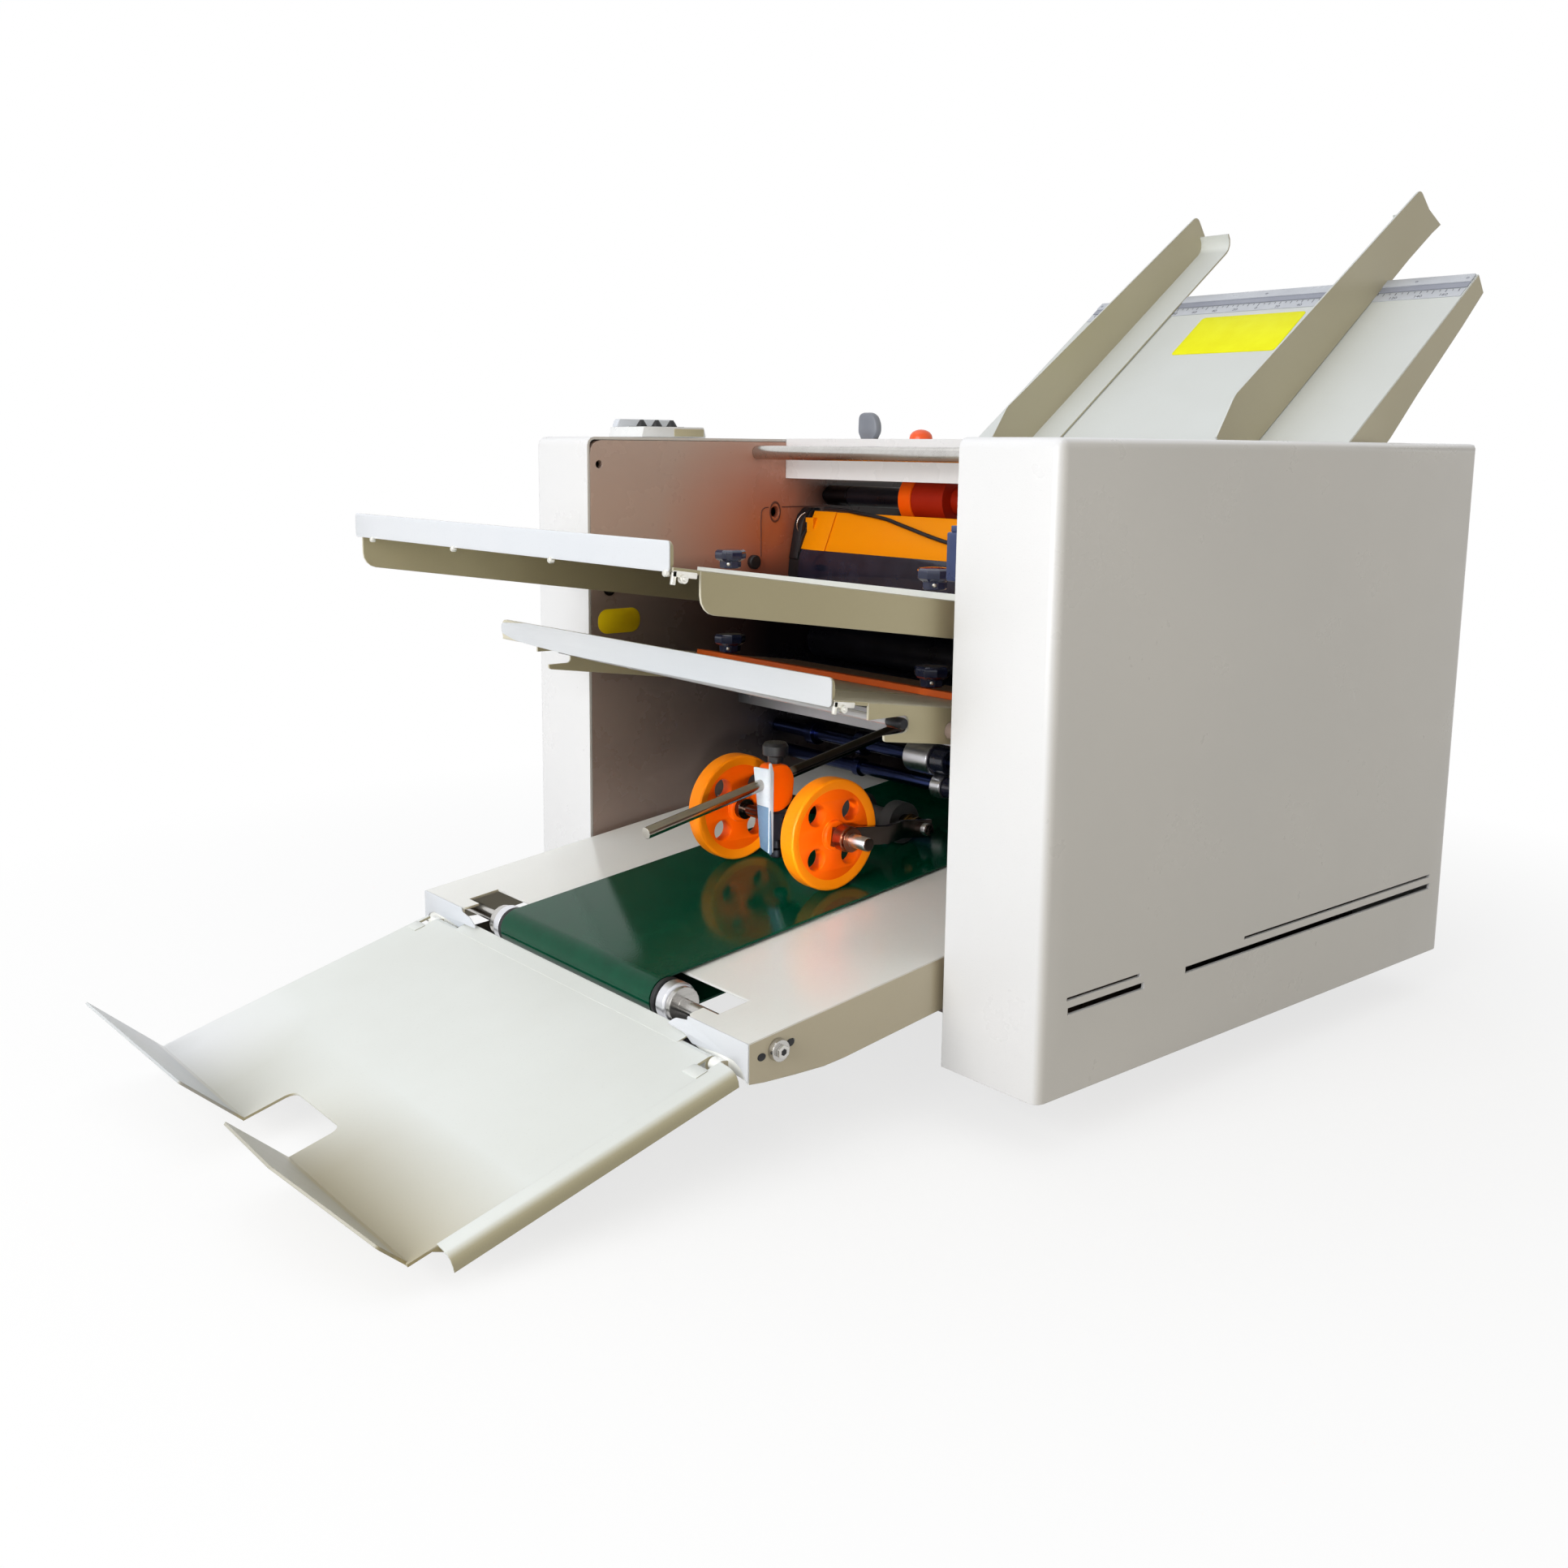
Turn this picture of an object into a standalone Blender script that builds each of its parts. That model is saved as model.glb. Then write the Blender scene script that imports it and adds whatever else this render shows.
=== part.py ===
"""Desktop paper folding machine: fold rollers and buckle plates between two casings.

Lengths are metres. x runs from the delivery end to the feed end, z up from the
casings' bottom edge, and the machine is centred on y. The last step of each
piece moves it so that the origin is at the bottom centre of the whole.
"""

import math

import bmesh
import bpy
from mathutils import Matrix, Vector
from mathutils.geometry import tessellate_polygon

# Driving sizes of the casings
machine_width = 0.500
casing_width = 0.070
casing_height = 0.353
casing_length = 0.433
foot_height = 0.030
cover_sheet = 0.002
frame_sheet = 0.005
thin_sheet = 0.0015
plate_sheet = 0.002

# Clearances, and how far joined sheets stop short of each other's faces
fit_gap = 0.0003
turn_gap = 0.0003
overrun = 0.005
hair_lap = 0.0002
lap = 0.0003
mid_lap = 0.0004
deep_lap = 0.0005
sunk = 0.001
close = 0.0001

# The bay between the casings
inner_face = machine_width / 2 - casing_width
frame_outer = inner_face + frame_sheet
between = inner_face - fit_gap
base_top = 0.003
frame_bottom = base_top + fit_gap
frame_top = casing_height - cover_sheet - fit_gap
frame_front = cover_sheet + fit_gap
frame_rear = casing_length - cover_sheet - fit_gap

# Heights that follow the casings, as shares of their height
first_roller_share = 0.71785
feed_axis_share = 0.87535
deck_front_share = 0.12975
drive_aim_share = 0.22663
keyhole_share = 0.83994

# Driving sizes of the rollers and their gears
fold_roller_radius = 0.015
roller_gap = 0.0006
roller_x = 0.216
roller_stagger = 0.002
roller_jog = 0.008
journal_radius = 0.005
score_x = 0.180
score_lift = 0.0233
score_spacing = 0.0185
feed_x = 0.230
feed_radius = 0.019
roller_teeth = 20
drive_teeth = 57
pinion_teeth = 16
drive_aim_x = 0.300
gear_module = (2 * fold_roller_radius + roller_gap) / roller_teeth
roller_pitch = gear_module * roller_teeth / 2
first_roller_z = casing_height * first_roller_share
fold_roller_axes = [(roller_x, first_roller_z)]
for step in (-roller_stagger, roller_jog, -roller_stagger):
    last_x, last_z = fold_roller_axes[-1]
    fold_roller_axes.append((last_x + step, last_z - math.sqrt(4 * roller_pitch ** 2 - step ** 2)))
feed_axis = (feed_x, casing_height * feed_axis_share)

# Driving sizes of the two fold plates
plate_side_gap = 0.010
plate_half_width = inner_face - plate_side_gap
skirt_depth = 0.021
upper_slope = math.atan(0.139)
upper_lip_x = -0.182
upper_lip_drop = 0.0022
upper_lip_rise = 0.0121
lower_slope = math.atan(0.1426)
lower_lip_x = -0.078
lower_lip_drop = 0.0016
lower_lip_rise = 0.0114
plate_rear_gap = 0.026
plate_rear_x = roller_x - plate_rear_gap
skirt_short = 0.055
skirt_rear_x = plate_rear_x - skirt_short
stop_x = 0.065
stop_inset = 0.070
stop_y = plate_half_width - stop_inset

# Driving sizes of the delivery deck, its belt and the tray in front
deck_front_x = -0.1373
deck_rear_x = 0.222
deck_front_z = casing_height * deck_front_share
deck_rise_share = 0.121
deck_side_gap = 0.0045
deck_half_width = inner_face - deck_side_gap
belt_near_inset = 0.0975
belt_far_inset = 0.0895
belt_near = belt_near_inset - deck_half_width
belt_far = deck_half_width - belt_far_inset
belt_sheet = 0.0013
belt_radius = 0.0123
front_roller_inset = 0.0187
front_roller_x = deck_front_x + front_roller_inset
rear_roller_x = 0.235
roller_drop = 0.00929
tray_length = 0.180
tray_slope = math.radians(15.1)
tray_side_gap = 0.0135
tray_half_width = deck_half_width - tray_side_gap
tray_hinge_gap = 0.0047
tray_hinge_x = deck_front_x - tray_hinge_gap
hinge_barrel_radius = 0.0042
hinge_drop = 0.0172
hinge_z = deck_front_z - hinge_drop
tray_fold = (tray_hinge_x - tray_length,
             hinge_z + hinge_barrel_radius / math.cos(tray_slope) - math.tan(tray_slope) * tray_length)
flap_angle = math.radians(42)
near_flap_length = 0.048
far_flap_length = 0.057

# Driving sizes of the press wheels' carriage
wheel_radius = 0.036
wheel_width = 0.012
wheel_x = 0.029
wheel_near_y = -0.050
wheel_far_y = 0.045
carriage_y = -0.0025
axle_spacing = 0.089
rear_axle_x = wheel_x + axle_spacing
rear_wheel_radius = 0.0143
rod_over_axle = 0.0284
rod_length = 0.2303
rod_radius = 0.0038
bar_x = 0.1454
bar_share = 0.723
bar_half = 0.0065
bar_rise = 0.0075
socket_depth = 0.008
socket_rise = 0.001

# Driving sizes of the feed tray and its guides
feed_slope = math.radians(37.07)
feed_root_inset = 0.0326
feed_root_lift = 0.0029
feed_root = (casing_length - feed_root_inset, casing_height + feed_root_lift)
feed_reach = 0.205
feed_side_gap = 0.004
feed_half_width = inner_face - feed_side_gap
pad_room = 0.002
table_z = feed_axis[1] - feed_radius - pad_room
table_lead = 0.009
table_front_x = feed_x - table_lead
guide_near_y = -0.1035
guide_far_y = 0.112
guide_reach = 0.295
guide_tip_drop = 0.005

for stale in list(bpy.data.objects):
    bpy.data.objects.remove(stale, do_unlink=True)
parts = bpy.data.collections.new("paper_folding_machine")
cutters = bpy.data.collections.new("cutters")
cutters.hide_render = True
for collection in (parts, cutters):
    bpy.context.scene.collection.children.link(collection)


# Frames: each maps a drawing's u, v and its thickness direction into the machine
def frame(origin, along, up):
    """Matrix whose local x is along and local y is up."""
    across = along.cross(up)
    matrix = Matrix((along, up, across)).transposed().to_4x4()
    matrix.translation = origin
    return matrix


def side(y, x=0.0, z=0.0, slope=0.0):
    """Drawing in x and z, seen from -y. Thickness runs toward -y."""
    along = Vector((math.cos(slope), 0, math.sin(slope)))
    up = Vector((-math.sin(slope), 0, math.cos(slope)))
    return frame(Vector((x, y, z)), along, up)


def facing(x, y=0.0, z=0.0):
    """Drawing in y and z. Thickness runs toward +x."""
    return frame(Vector((x, y, z)), Vector((0, 1, 0)), Vector((0, 0, 1)))


def level(z, x=0.0, y=0.0, slope=0.0):
    """Drawing in x and y, on a plane that may rise toward +x. Thickness runs up."""
    along = Vector((math.cos(slope), 0, math.sin(slope)))
    return frame(Vector((x, y, z)), along, Vector((0, 1, 0)))


def spindle(x, z, y=0.0):
    """A turned drawing's axis along +y."""
    return frame(Vector((x, y, z)), Vector((1, 0, 0)), Vector((0, 0, -1)))


# Drawings
def rounded(corners, steps=4):
    """Outline through corners (u, v) or (u, v, radius), with each radius made an arc."""
    points = []
    for index, corner in enumerate(corners):
        here = Vector(corner[:2])
        if len(corner) == 2 or corner[2] == 0:
            points.append(here)
            continue
        back = (Vector(corners[index - 1][:2]) - here).normalized()
        ahead = (Vector(corners[(index + 1) % len(corners)][:2]) - here).normalized()
        half = math.acos(max(-1.0, min(1.0, back.dot(ahead)))) / 2
        reach = corner[2] / math.tan(half)
        centre = here + (back + ahead).normalized() * corner[2] / math.sin(half)
        first = here + back * reach - centre
        last = here + ahead * reach - centre
        turn = math.atan2(first.x * last.y - first.y * last.x, first.dot(last))
        for step in range(steps + 1):
            angle = turn * step / steps
            spun = Vector((
                first.x * math.cos(angle) - first.y * math.sin(angle),
                first.x * math.sin(angle) + first.y * math.cos(angle),
            ))
            points.append(centre + spun)
    return points


def circle(u, v, radius, steps=24):
    turns = [2 * math.pi * step / steps for step in range(steps)]
    return [Vector((u + radius * math.cos(t), v + radius * math.sin(t))) for t in turns]


def slot(u0, u1, v, half, steps=6):
    """Round-ended slot between two centres on one v."""
    points = []
    for centre, start in ((u1, -math.pi / 2), (u0, math.pi / 2)):
        for step in range(steps + 1):
            angle = start + math.pi * step / steps
            points.append(Vector((centre + half * math.cos(angle), v + half * math.sin(angle))))
    return points


def oblong(u0, u1, v0, v1, radius=0.0, steps=3):
    return rounded([(u0, v0, radius), (u1, v0, radius), (u1, v1, radius), (u0, v1, radius)], steps)


def strip(path, thickness):
    """Outline of a bent sheet whose left face follows the path, thickness to its right."""
    line = [Vector(point) for point in path]
    offset = []
    for index, here in enumerate(line):
        rays = []
        if index:
            rays.append((here - line[index - 1]).normalized())
        if index < len(line) - 1:
            rays.append((line[index + 1] - here).normalized())
        normals = [Vector((ray.y, -ray.x)) for ray in rays]
        mid = sum(normals, Vector((0, 0))).normalized()
        offset.append(here + mid * thickness / mid.dot(normals[0]))
    return line + offset[::-1]


# Meshes
def flat(outline, thickness, holes=(), start=None):
    """Slab of the outline, centred on local z or from start upward."""
    low = -thickness / 2 if start is None else start
    loops = [[Vector((p[0], p[1], 0)) for p in loop] for loop in (outline, *holes)]
    shape = bmesh.new()
    lower = [shape.verts.new(p + Vector((0, 0, low))) for loop in loops for p in loop]
    upper = [shape.verts.new(p + Vector((0, 0, low + thickness))) for loop in loops for p in loop]
    for corners in tessellate_polygon(loops):
        shape.faces.new([lower[index] for index in corners])
        shape.faces.new([upper[index] for index in reversed(corners)])
    first = 0
    for loop in loops:
        for index in range(len(loop)):
            a = first + index
            b = first + (index + 1) % len(loop)
            shape.faces.new([lower[a], lower[b], upper[b], upper[a]])
        first += len(loop)
    return finished(shape)


def turned(profile, steps=32, ring=False):
    """Solid of (radius, height) points turned about local z. A ring's profile closes on itself."""
    shape = bmesh.new()
    rows = []
    for radius, height in profile:
        if radius == 0:
            rows.append([shape.verts.new((0, 0, height))])
            continue
        turns = [2 * math.pi * step / steps for step in range(steps)]
        rows.append([shape.verts.new((radius * math.cos(t), radius * math.sin(t), height)) for t in turns])
    pairs = list(zip(rows, rows[1:]))
    if ring:
        pairs.append((rows[-1], rows[0]))
    for one, two in pairs:
        for step in range(steps):
            after = (step + 1) % steps
            corners = [one[step % len(one)], one[after % len(one)], two[after % len(two)], two[step % len(two)]]
            shape.faces.new(list(dict.fromkeys(corners)))
    return finished(shape)


def rod(radius, start, end, steps=20):
    return turned([(0, start), (radius, start), (radius, end), (0, end)], steps)


def block(x0, x1, y0, y1, z0, z1):
    return flat(oblong(x0, x1, y0, y1), z1 - z0, start=z0)


def soft_block(x0, x1, y0, y1, z0, z1, radius, chosen, steps=3):
    """Block with the edges that chosen picks rounded over."""
    shape = bmesh.new()
    bmesh.ops.create_cube(shape, size=1.0)
    for vert in shape.verts:
        vert.co = Vector((
            (x0 + x1) / 2 + vert.co.x * (x1 - x0),
            (y0 + y1) / 2 + vert.co.y * (y1 - y0),
            (z0 + z1) / 2 + vert.co.z * (z1 - z0),
        ))
    edges = [edge for edge in shape.edges if chosen((edge.verts[0].co + edge.verts[1].co) / 2)]
    bmesh.ops.bevel(shape, geom=edges, offset=radius, segments=steps, profile=0.5, affect="EDGES")
    return finished(shape)


def cable(points, radius, steps=4, rounds=4):
    """Tube along a smooth curve through the points."""
    data = bpy.data.curves.new("cable", "CURVE")
    data.dimensions = "3D"
    data.bevel_depth = radius
    data.bevel_resolution = steps // 4
    data.use_fill_caps = True
    data.resolution_u = rounds
    line = data.splines.new("BEZIER")
    line.bezier_points.add(len(points) - 1)
    for knot, point in zip(line.bezier_points, points):
        knot.co = point
        knot.handle_left_type = "AUTO"
        knot.handle_right_type = "AUTO"
    obj = bpy.data.objects.new("cable", data)
    parts.objects.link(obj)
    graph = bpy.context.evaluated_depsgraph_get()
    mesh = bpy.data.meshes.new_from_object(obj.evaluated_get(graph))
    bpy.data.objects.remove(obj, do_unlink=True)
    shape = bmesh.new()
    shape.from_mesh(mesh)
    bmesh.ops.remove_doubles(shape, verts=shape.verts, dist=1e-5)
    return finished(shape)


def finished(shape):
    bmesh.ops.recalc_face_normals(shape, faces=shape.faces)
    mesh = bpy.data.meshes.new("shape")
    shape.to_mesh(mesh)
    shape.free()
    return mesh


def placed(mesh, matrix):
    mesh.transform(matrix)
    return mesh


def together(meshes):
    """One mesh of several that do not touch, to cut or join in one step."""
    shape = bmesh.new()
    for mesh in meshes:
        shape.from_mesh(mesh)
    return finished(shape)


looks = {}


def look(name, color, roughness, metallic=0.0):
    material = bpy.data.materials.new(name)
    material.use_nodes = True
    shader = material.node_tree.nodes["Principled BSDF"]
    shader.inputs["Base Color"].default_value = (*color, 1)
    shader.inputs["Roughness"].default_value = roughness
    shader.inputs["Metallic"].default_value = metallic
    material.diffuse_color = (*color, 1)
    looks[name] = (color, roughness, metallic)


look("cream_paint", (0.80, 0.78, 0.72), 0.4)
look("white_paint", (0.87, 0.87, 0.85), 0.35)
look("wall_paint", (0.42, 0.36, 0.33), 0.45)
look("steel", (0.62, 0.62, 0.63), 0.3, 1.0)
look("orange", (1.0, 0.22, 0.01), 0.4)
look("black", (0.02, 0.02, 0.025), 0.45)
look("navy", (0.01, 0.015, 0.05), 0.4)
look("grey", (0.25, 0.26, 0.28), 0.45)
look("belt_green", (0.0, 0.09, 0.05), 0.2)
look("rubber", (0.03, 0.03, 0.03), 0.8)
look("clear", (0.85, 0.86, 0.88), 0.2)


def piece(name, mesh, color, pivot=(0, 0, 0), cuts=(), joins=(), angle=30):
    """One named part, its origin on the pivot, cut and joined by meshes in the machine's frame."""
    pivot = Vector(pivot)
    mesh.transform(Matrix.Translation(-pivot))
    mesh.name = name
    obj = bpy.data.objects.new(name, mesh)
    obj.location = pivot + placement
    parts.objects.link(obj)
    mesh.shade_smooth()
    mesh.set_sharp_from_angle(angle=math.radians(angle))
    base, roughness, metallic = looks[color]
    material = bpy.data.materials[color].copy()
    material.name = name + "_" + color
    mesh.materials.append(material)
    for operation, tools in (("UNION", joins), ("DIFFERENCE", cuts)):
        for tool in tools:
            helper = bpy.data.objects.new(name + "_" + operation.lower(), tool)
            helper.location = placement
            helper.hide_render = True
            helper.display_type = "WIRE"
            cutters.objects.link(helper)
            step = obj.modifiers.new(operation.lower(), "BOOLEAN")
            step.operation = operation
            step.solver = "EXACT"
            step.object = helper
    return obj


def mirror_pair(sign):
    return "near" if sign < 0 else "far"


# The whole's ends along x, for the origin
def feed_point(s, h):
    """Machine x and z of a point s along the feed tray and h above it."""
    cosine = math.cos(feed_slope)
    sine = math.sin(feed_slope)
    return (feed_root[0] + s * cosine - h * sine, feed_root[1] + s * sine + h * cosine)


front_tip_x = tray_fold[0] - far_flap_length * math.cos(flap_angle) - thin_sheet * math.sin(flap_angle)
rear_tip_x = feed_point(guide_reach, -guide_tip_drop)[0]
placement = Vector((-(front_tip_x + rear_tip_x) / 2, 0, foot_height))


# Lines that several pieces share: each plate enters between two rollers
def nip_z(first):
    return (fold_roller_axes[first][1] + fold_roller_axes[first + 1][1]) / 2 + plate_sheet / 2


def upper_z(x):
    return nip_z(0) + math.tan(upper_slope) * (plate_rear_x - x)


def lower_z(x):
    return nip_z(2) + math.tan(lower_slope) * (plate_rear_x - x)


def deck_z(x):
    return deck_front_z + deck_rise_share * (x - deck_front_x)


deck_slope = math.atan(deck_rise_share)
front_roller_z = deck_z(front_roller_x) - roller_drop / math.cos(deck_slope)
rear_roller_z = deck_z(rear_roller_x) - roller_drop / math.cos(deck_slope)
belt_roller_radius = belt_radius - belt_sheet - turn_gap
score_heights = (deck_z(score_x) + score_lift + score_spacing, deck_z(score_x) + score_lift)


def on_belt(x, radius):
    """Height of an axle whose wheel just clears the belt."""
    return deck_z(x) + (belt_radius - roller_drop + radius + fit_gap) / math.cos(deck_slope)


wheel_z = on_belt(wheel_x, wheel_radius)
rear_axle_z = on_belt(rear_axle_x, rear_wheel_radius)

# Gear train: each roller gear drives the next, and the drive gear the last
drive_pitch = gear_module * drive_teeth / 2
pinion_pitch = gear_module * pinion_teeth / 2
last_x, last_z = fold_roller_axes[3]
drive_turn = math.atan2(casing_height * drive_aim_share - last_z, drive_aim_x - last_x)
drive_axis = (
    last_x + (roller_pitch + drive_pitch) * math.cos(drive_turn),
    last_z + (roller_pitch + drive_pitch) * math.sin(drive_turn),
)
motor_axis = (
    drive_axis[0] + (drive_pitch + pinion_pitch) * math.cos(drive_turn),
    drive_axis[1] + (drive_pitch + pinion_pitch) * math.sin(drive_turn),
)
gear_face = 0.008
gear_side_gap = 0.003
gear_y = -(frame_outer + gear_side_gap + gear_face / 2)


def mesh_phase(turn, phase, radius, other_teeth):
    """Angle of a tooth on the gear that meshes with a gear of this phase, in direction turn."""
    other_radius = gear_module * other_teeth / 2
    return turn + math.pi - (phase - turn) * radius / other_radius + math.pi / other_teeth


def gear_outline(teeth, phase):
    """Plain teeth, as angles from +x toward +z."""
    pitch_radius = gear_module * teeth / 2
    tip = pitch_radius + 0.8 * gear_module
    root = pitch_radius - 1.05 * gear_module
    half = 0.21 * 2 * math.pi / teeth
    tooth_shares = ((root, 1.55), (tip, 0.42), (tip, -0.42), (root, -1.55))
    points = []
    for tooth in range(teeth):
        centre = phase + 2 * math.pi * tooth / teeth
        for radius, share in reversed(tooth_shares):
            angle = centre + half * share
            points.append(Vector((radius * math.cos(angle), radius * math.sin(angle))))
    return points


gear_phases = [0.0]
for here, after in zip(fold_roller_axes, fold_roller_axes[1:]):
    heading = math.atan2(after[1] - here[1], after[0] - here[0])
    gear_phases.append(mesh_phase(heading, gear_phases[-1], roller_pitch, roller_teeth))
drive_phase = mesh_phase(drive_turn, gear_phases[-1], roller_pitch, drive_teeth)
pinion_phase = mesh_phase(drive_turn, drive_phase, drive_pitch, pinion_teeth)

# Side covers: a folded sheet, open below and toward the bay
# Vents, as shares of the casings' length and height: x0, x1, z0, z1
vent_shares = ((0.0508, 0.1986, 0.1530, 0.1586), (0.0531, 0.2079, 0.1303, 0.1416),
               (0.4342, 0.9538, 0.1558, 0.1615), (0.2979, 0.9561, 0.1317, 0.1431))
edge_radius = 0.006
for sign in (-1, 1):
    outer_face = sign * machine_width / 2
    low = min(sign * inner_face, outer_face)
    high = max(sign * inner_face, outer_face)

    def outside_edges(mid, face=outer_face):
        return abs(mid.y - face) < close and mid.z > casing_height / 4 or (
            mid.z > casing_height - close and mid.x < close)

    cover = soft_block(0, casing_length, low, high, 0, casing_height, edge_radius, outside_edges)
    inside_face = sign * (machine_width / 2 - cover_sheet)
    past_face = sign * (inner_face - overrun)

    def inside_edges(mid, face=inside_face):
        return abs(mid.y - face) < close and mid.z > casing_height / 4 or (
            mid.z > casing_height - cover_sheet - close and mid.x < cover_sheet + close)

    hollow = soft_block(
        cover_sheet, casing_length - cover_sheet, min(past_face, inside_face), max(past_face, inside_face),
        -overrun, casing_height - cover_sheet, edge_radius - cover_sheet, inside_edges)
    inner_edge = sign * (machine_width / 2 - cover_sheet - overrun)
    outer_edge = sign * (machine_width / 2 + overrun)
    vents = [
        block(x0 * casing_length, x1 * casing_length, min(inner_edge, outer_edge), max(inner_edge, outer_edge),
              z0 * casing_height, z1 * casing_height)
        for x0, x1, z0, z1 in vent_shares
    ]
    piece("side_cover_" + mirror_pair(sign), cover, "cream_paint", cuts=(hollow, together(vents)))

# Side frames: thick plates with bearing holes and bosses that carry the plates
bearing_holes = [(x, z, journal_radius) for x, z in fold_roller_axes]
bearing_holes += [(score_x, z, journal_radius) for z in score_heights]
bearing_holes += [(*feed_axis, journal_radius), (rear_roller_x, rear_roller_z, journal_radius)]
boss_radius = 0.005
boss_drop = 0.013
upper_boss_front = 0.018
upper_boss_rear = 0.120
lower_boss_front = 0.010
lower_boss_rear = 0.115
deck_boss_front = 0.030
deck_boss_rear = 0.190
deck_boss_drop = 0.016
feed_boss_back = 0.025
feed_boss_drop = 0.015
table_boss_back = 0.032
table_boss_drop = 0.012
bosses = [(x, upper_z(x) - boss_drop, plate_half_width) for x in (upper_boss_front, upper_boss_rear)]
bosses += [(x, lower_z(x) - boss_drop, plate_half_width) for x in (lower_boss_front, lower_boss_rear)]
bosses += [(x, deck_z(x) - deck_boss_drop, deck_half_width) for x in (deck_boss_front, deck_boss_rear)]
bosses.append((*feed_point(-feed_boss_back, -feed_boss_drop), feed_half_width))
bosses.append((feed_x + table_boss_back, table_z - table_boss_drop, feed_half_width))
frame_corner = 0.010
corner_hole_x = 0.010
corner_hole_drop = 0.0195
corner_hole_radius = 0.003
keyhole_x = 0.175
keyhole_radius = 0.0045
stub_radius = 0.006
stub_past = 0.001
shaft_hole_radius = 0.006
for sign in (-1, 1):
    outline = rounded([
        (frame_front, frame_bottom), (frame_rear, frame_bottom), (frame_rear, frame_top),
        (frame_front, frame_top, frame_corner)])
    holes = [circle(x, z, radius + turn_gap) for x, z, radius in bearing_holes]
    holes.append(circle(corner_hole_x, casing_height - corner_hole_drop, corner_hole_radius, 12))
    joins = []
    for x, z, reach in bosses:
        start = sign * (reach + fit_gap)
        end = sign * (inner_face + frame_sheet / 2)
        joins.append(placed(rod(boss_radius, min(start, end), max(start, end), 12), spindle(x, z)))
    if sign < 0:
        holes.append(circle(*motor_axis, shaft_hole_radius, 20))
        stub = rod(stub_radius, gear_y - gear_face / 2 - stub_past, -(inner_face + frame_sheet / 2), 24)
        joins.append(placed(stub, spindle(*drive_axis)))
    else:
        holes.append(circle(keyhole_x, casing_height * keyhole_share, keyhole_radius, 16))
    wall = placed(flat(outline, frame_sheet, holes), side(sign * (inner_face + frame_sheet / 2)))
    piece("side_frame_" + mirror_pair(sign), wall, "wall_paint", joins=(together(joins),))

# Base plate with a rear upstand that closes the bay
base_front_x = 0.062
upstand_inset = 0.007
upstand_x = casing_length - upstand_inset
upstand_reach = 0.010
upstand_drop = 0.036
base_half_width = machine_width / 2 - cover_sheet - fit_gap
module_inset = 0.080
module_y = inner_face - module_inset
module_z = 0.070
module_width = 0.030
module_height = 0.052
base_corner = edge_radius - cover_sheet + fit_gap
base = flat(rounded([
    (base_front_x, -base_half_width), (frame_rear, -base_half_width, base_corner),
    (frame_rear, base_half_width, base_corner), (base_front_x, base_half_width)]), base_top, start=0)
upstand_hole = oblong(module_y - module_width / 2, module_y + module_width / 2,
                      module_z - module_height / 2, module_z + module_height / 2)
upstand_top = feed_point(upstand_reach, -upstand_drop)[1]
upstand = placed(
    flat(oblong(-between, between, sunk, upstand_top), cover_sheet, [upstand_hole]),
    facing(upstand_x))
piece("base_plate", base, "wall_paint", joins=(upstand,))

# Feet
foot_radius = 0.014
foot_inset = 0.0777
foot_y = base_half_width - foot_inset
foot_front_x = 0.090
foot_rear_inset = 0.063
foot_rear_x = casing_length - foot_rear_inset
foot_taper_share = 0.85
foot_waist_share = 0.6
foot_places = ((foot_front_x, -1), (foot_rear_x, -1), (foot_front_x, 1), (foot_rear_x, 1))
for number, (x, sign) in enumerate(foot_places, 1):
    profile = [(0, -foot_height), (foot_radius * foot_taper_share, -foot_height),
               (foot_radius, -foot_height * foot_waist_share), (foot_radius, -fit_gap), (0, -fit_gap)]
    shape = placed(turned(profile, 20), Matrix.Translation((x, sign * foot_y, 0)))
    piece("foot_" + str(number), shape, "rubber")

# Top cover: a channel across the bay, with the lever's slot and ears and the button's hole
cover_lead = 0.0445
cover_front_x = feed_x - cover_lead
cover_back = 0.032
cover_rear_x = feed_x + cover_back
cover_proud = 0.0004
cover_top_z = casing_height + cover_proud
cover_lip = 0.0303
cover_flange = 0.014
lever_lead = 0.017
lever_drop = 0.015
lever_pivot = (feed_x - lever_lead, casing_height - lever_drop)
lever_inset = 0.066
lever_y = inner_face - lever_inset
lever_half = 0.00725
lever_slack = 0.001
lever_sweep = 0.014
lever_pin_radius = 0.003
ear_half = 0.006
ear_corner = 0.005
ear_sheet = 0.003
ear_step = 0.0035
dome_inset = 0.055
dome_y = lever_y - dome_inset
dome_place = (feed_x - lever_lead, dome_y)
dome_radius = 0.0085
top_path = [(cover_rear_x, cover_top_z - cover_flange), (cover_rear_x, cover_top_z), (cover_front_x, cover_top_z),
            (cover_front_x, casing_height - cover_lip)]
channel = placed(flat(strip(top_path[::-1], cover_sheet), 2 * between), side(0))
ears = []
for sign in (-1, 1):
    ear = rounded([
        (lever_pivot[0] - ear_half, cover_top_z - sunk), (lever_pivot[0] - ear_half, lever_pivot[1] - ear_half, ear_corner),
        (lever_pivot[0] + ear_half, lever_pivot[1] - ear_half, ear_corner), (lever_pivot[0] + ear_half, cover_top_z - sunk)])
    ears.append(placed(
        flat(ear, ear_sheet, [circle(*lever_pivot, lever_pin_radius + turn_gap, 16)]),
        side(lever_y + sign * (lever_half + ear_step))))
openings = [
    placed(flat(oblong(lever_pivot[0] - lever_sweep, lever_pivot[0] + lever_sweep, lever_y - lever_half - lever_slack,
                       lever_y + lever_half + lever_slack), 2 * overrun), level(cover_top_z)),
    placed(rod(dome_radius + turn_gap, -overrun, overrun), level(cover_top_z, *dome_place)),
]
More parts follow.
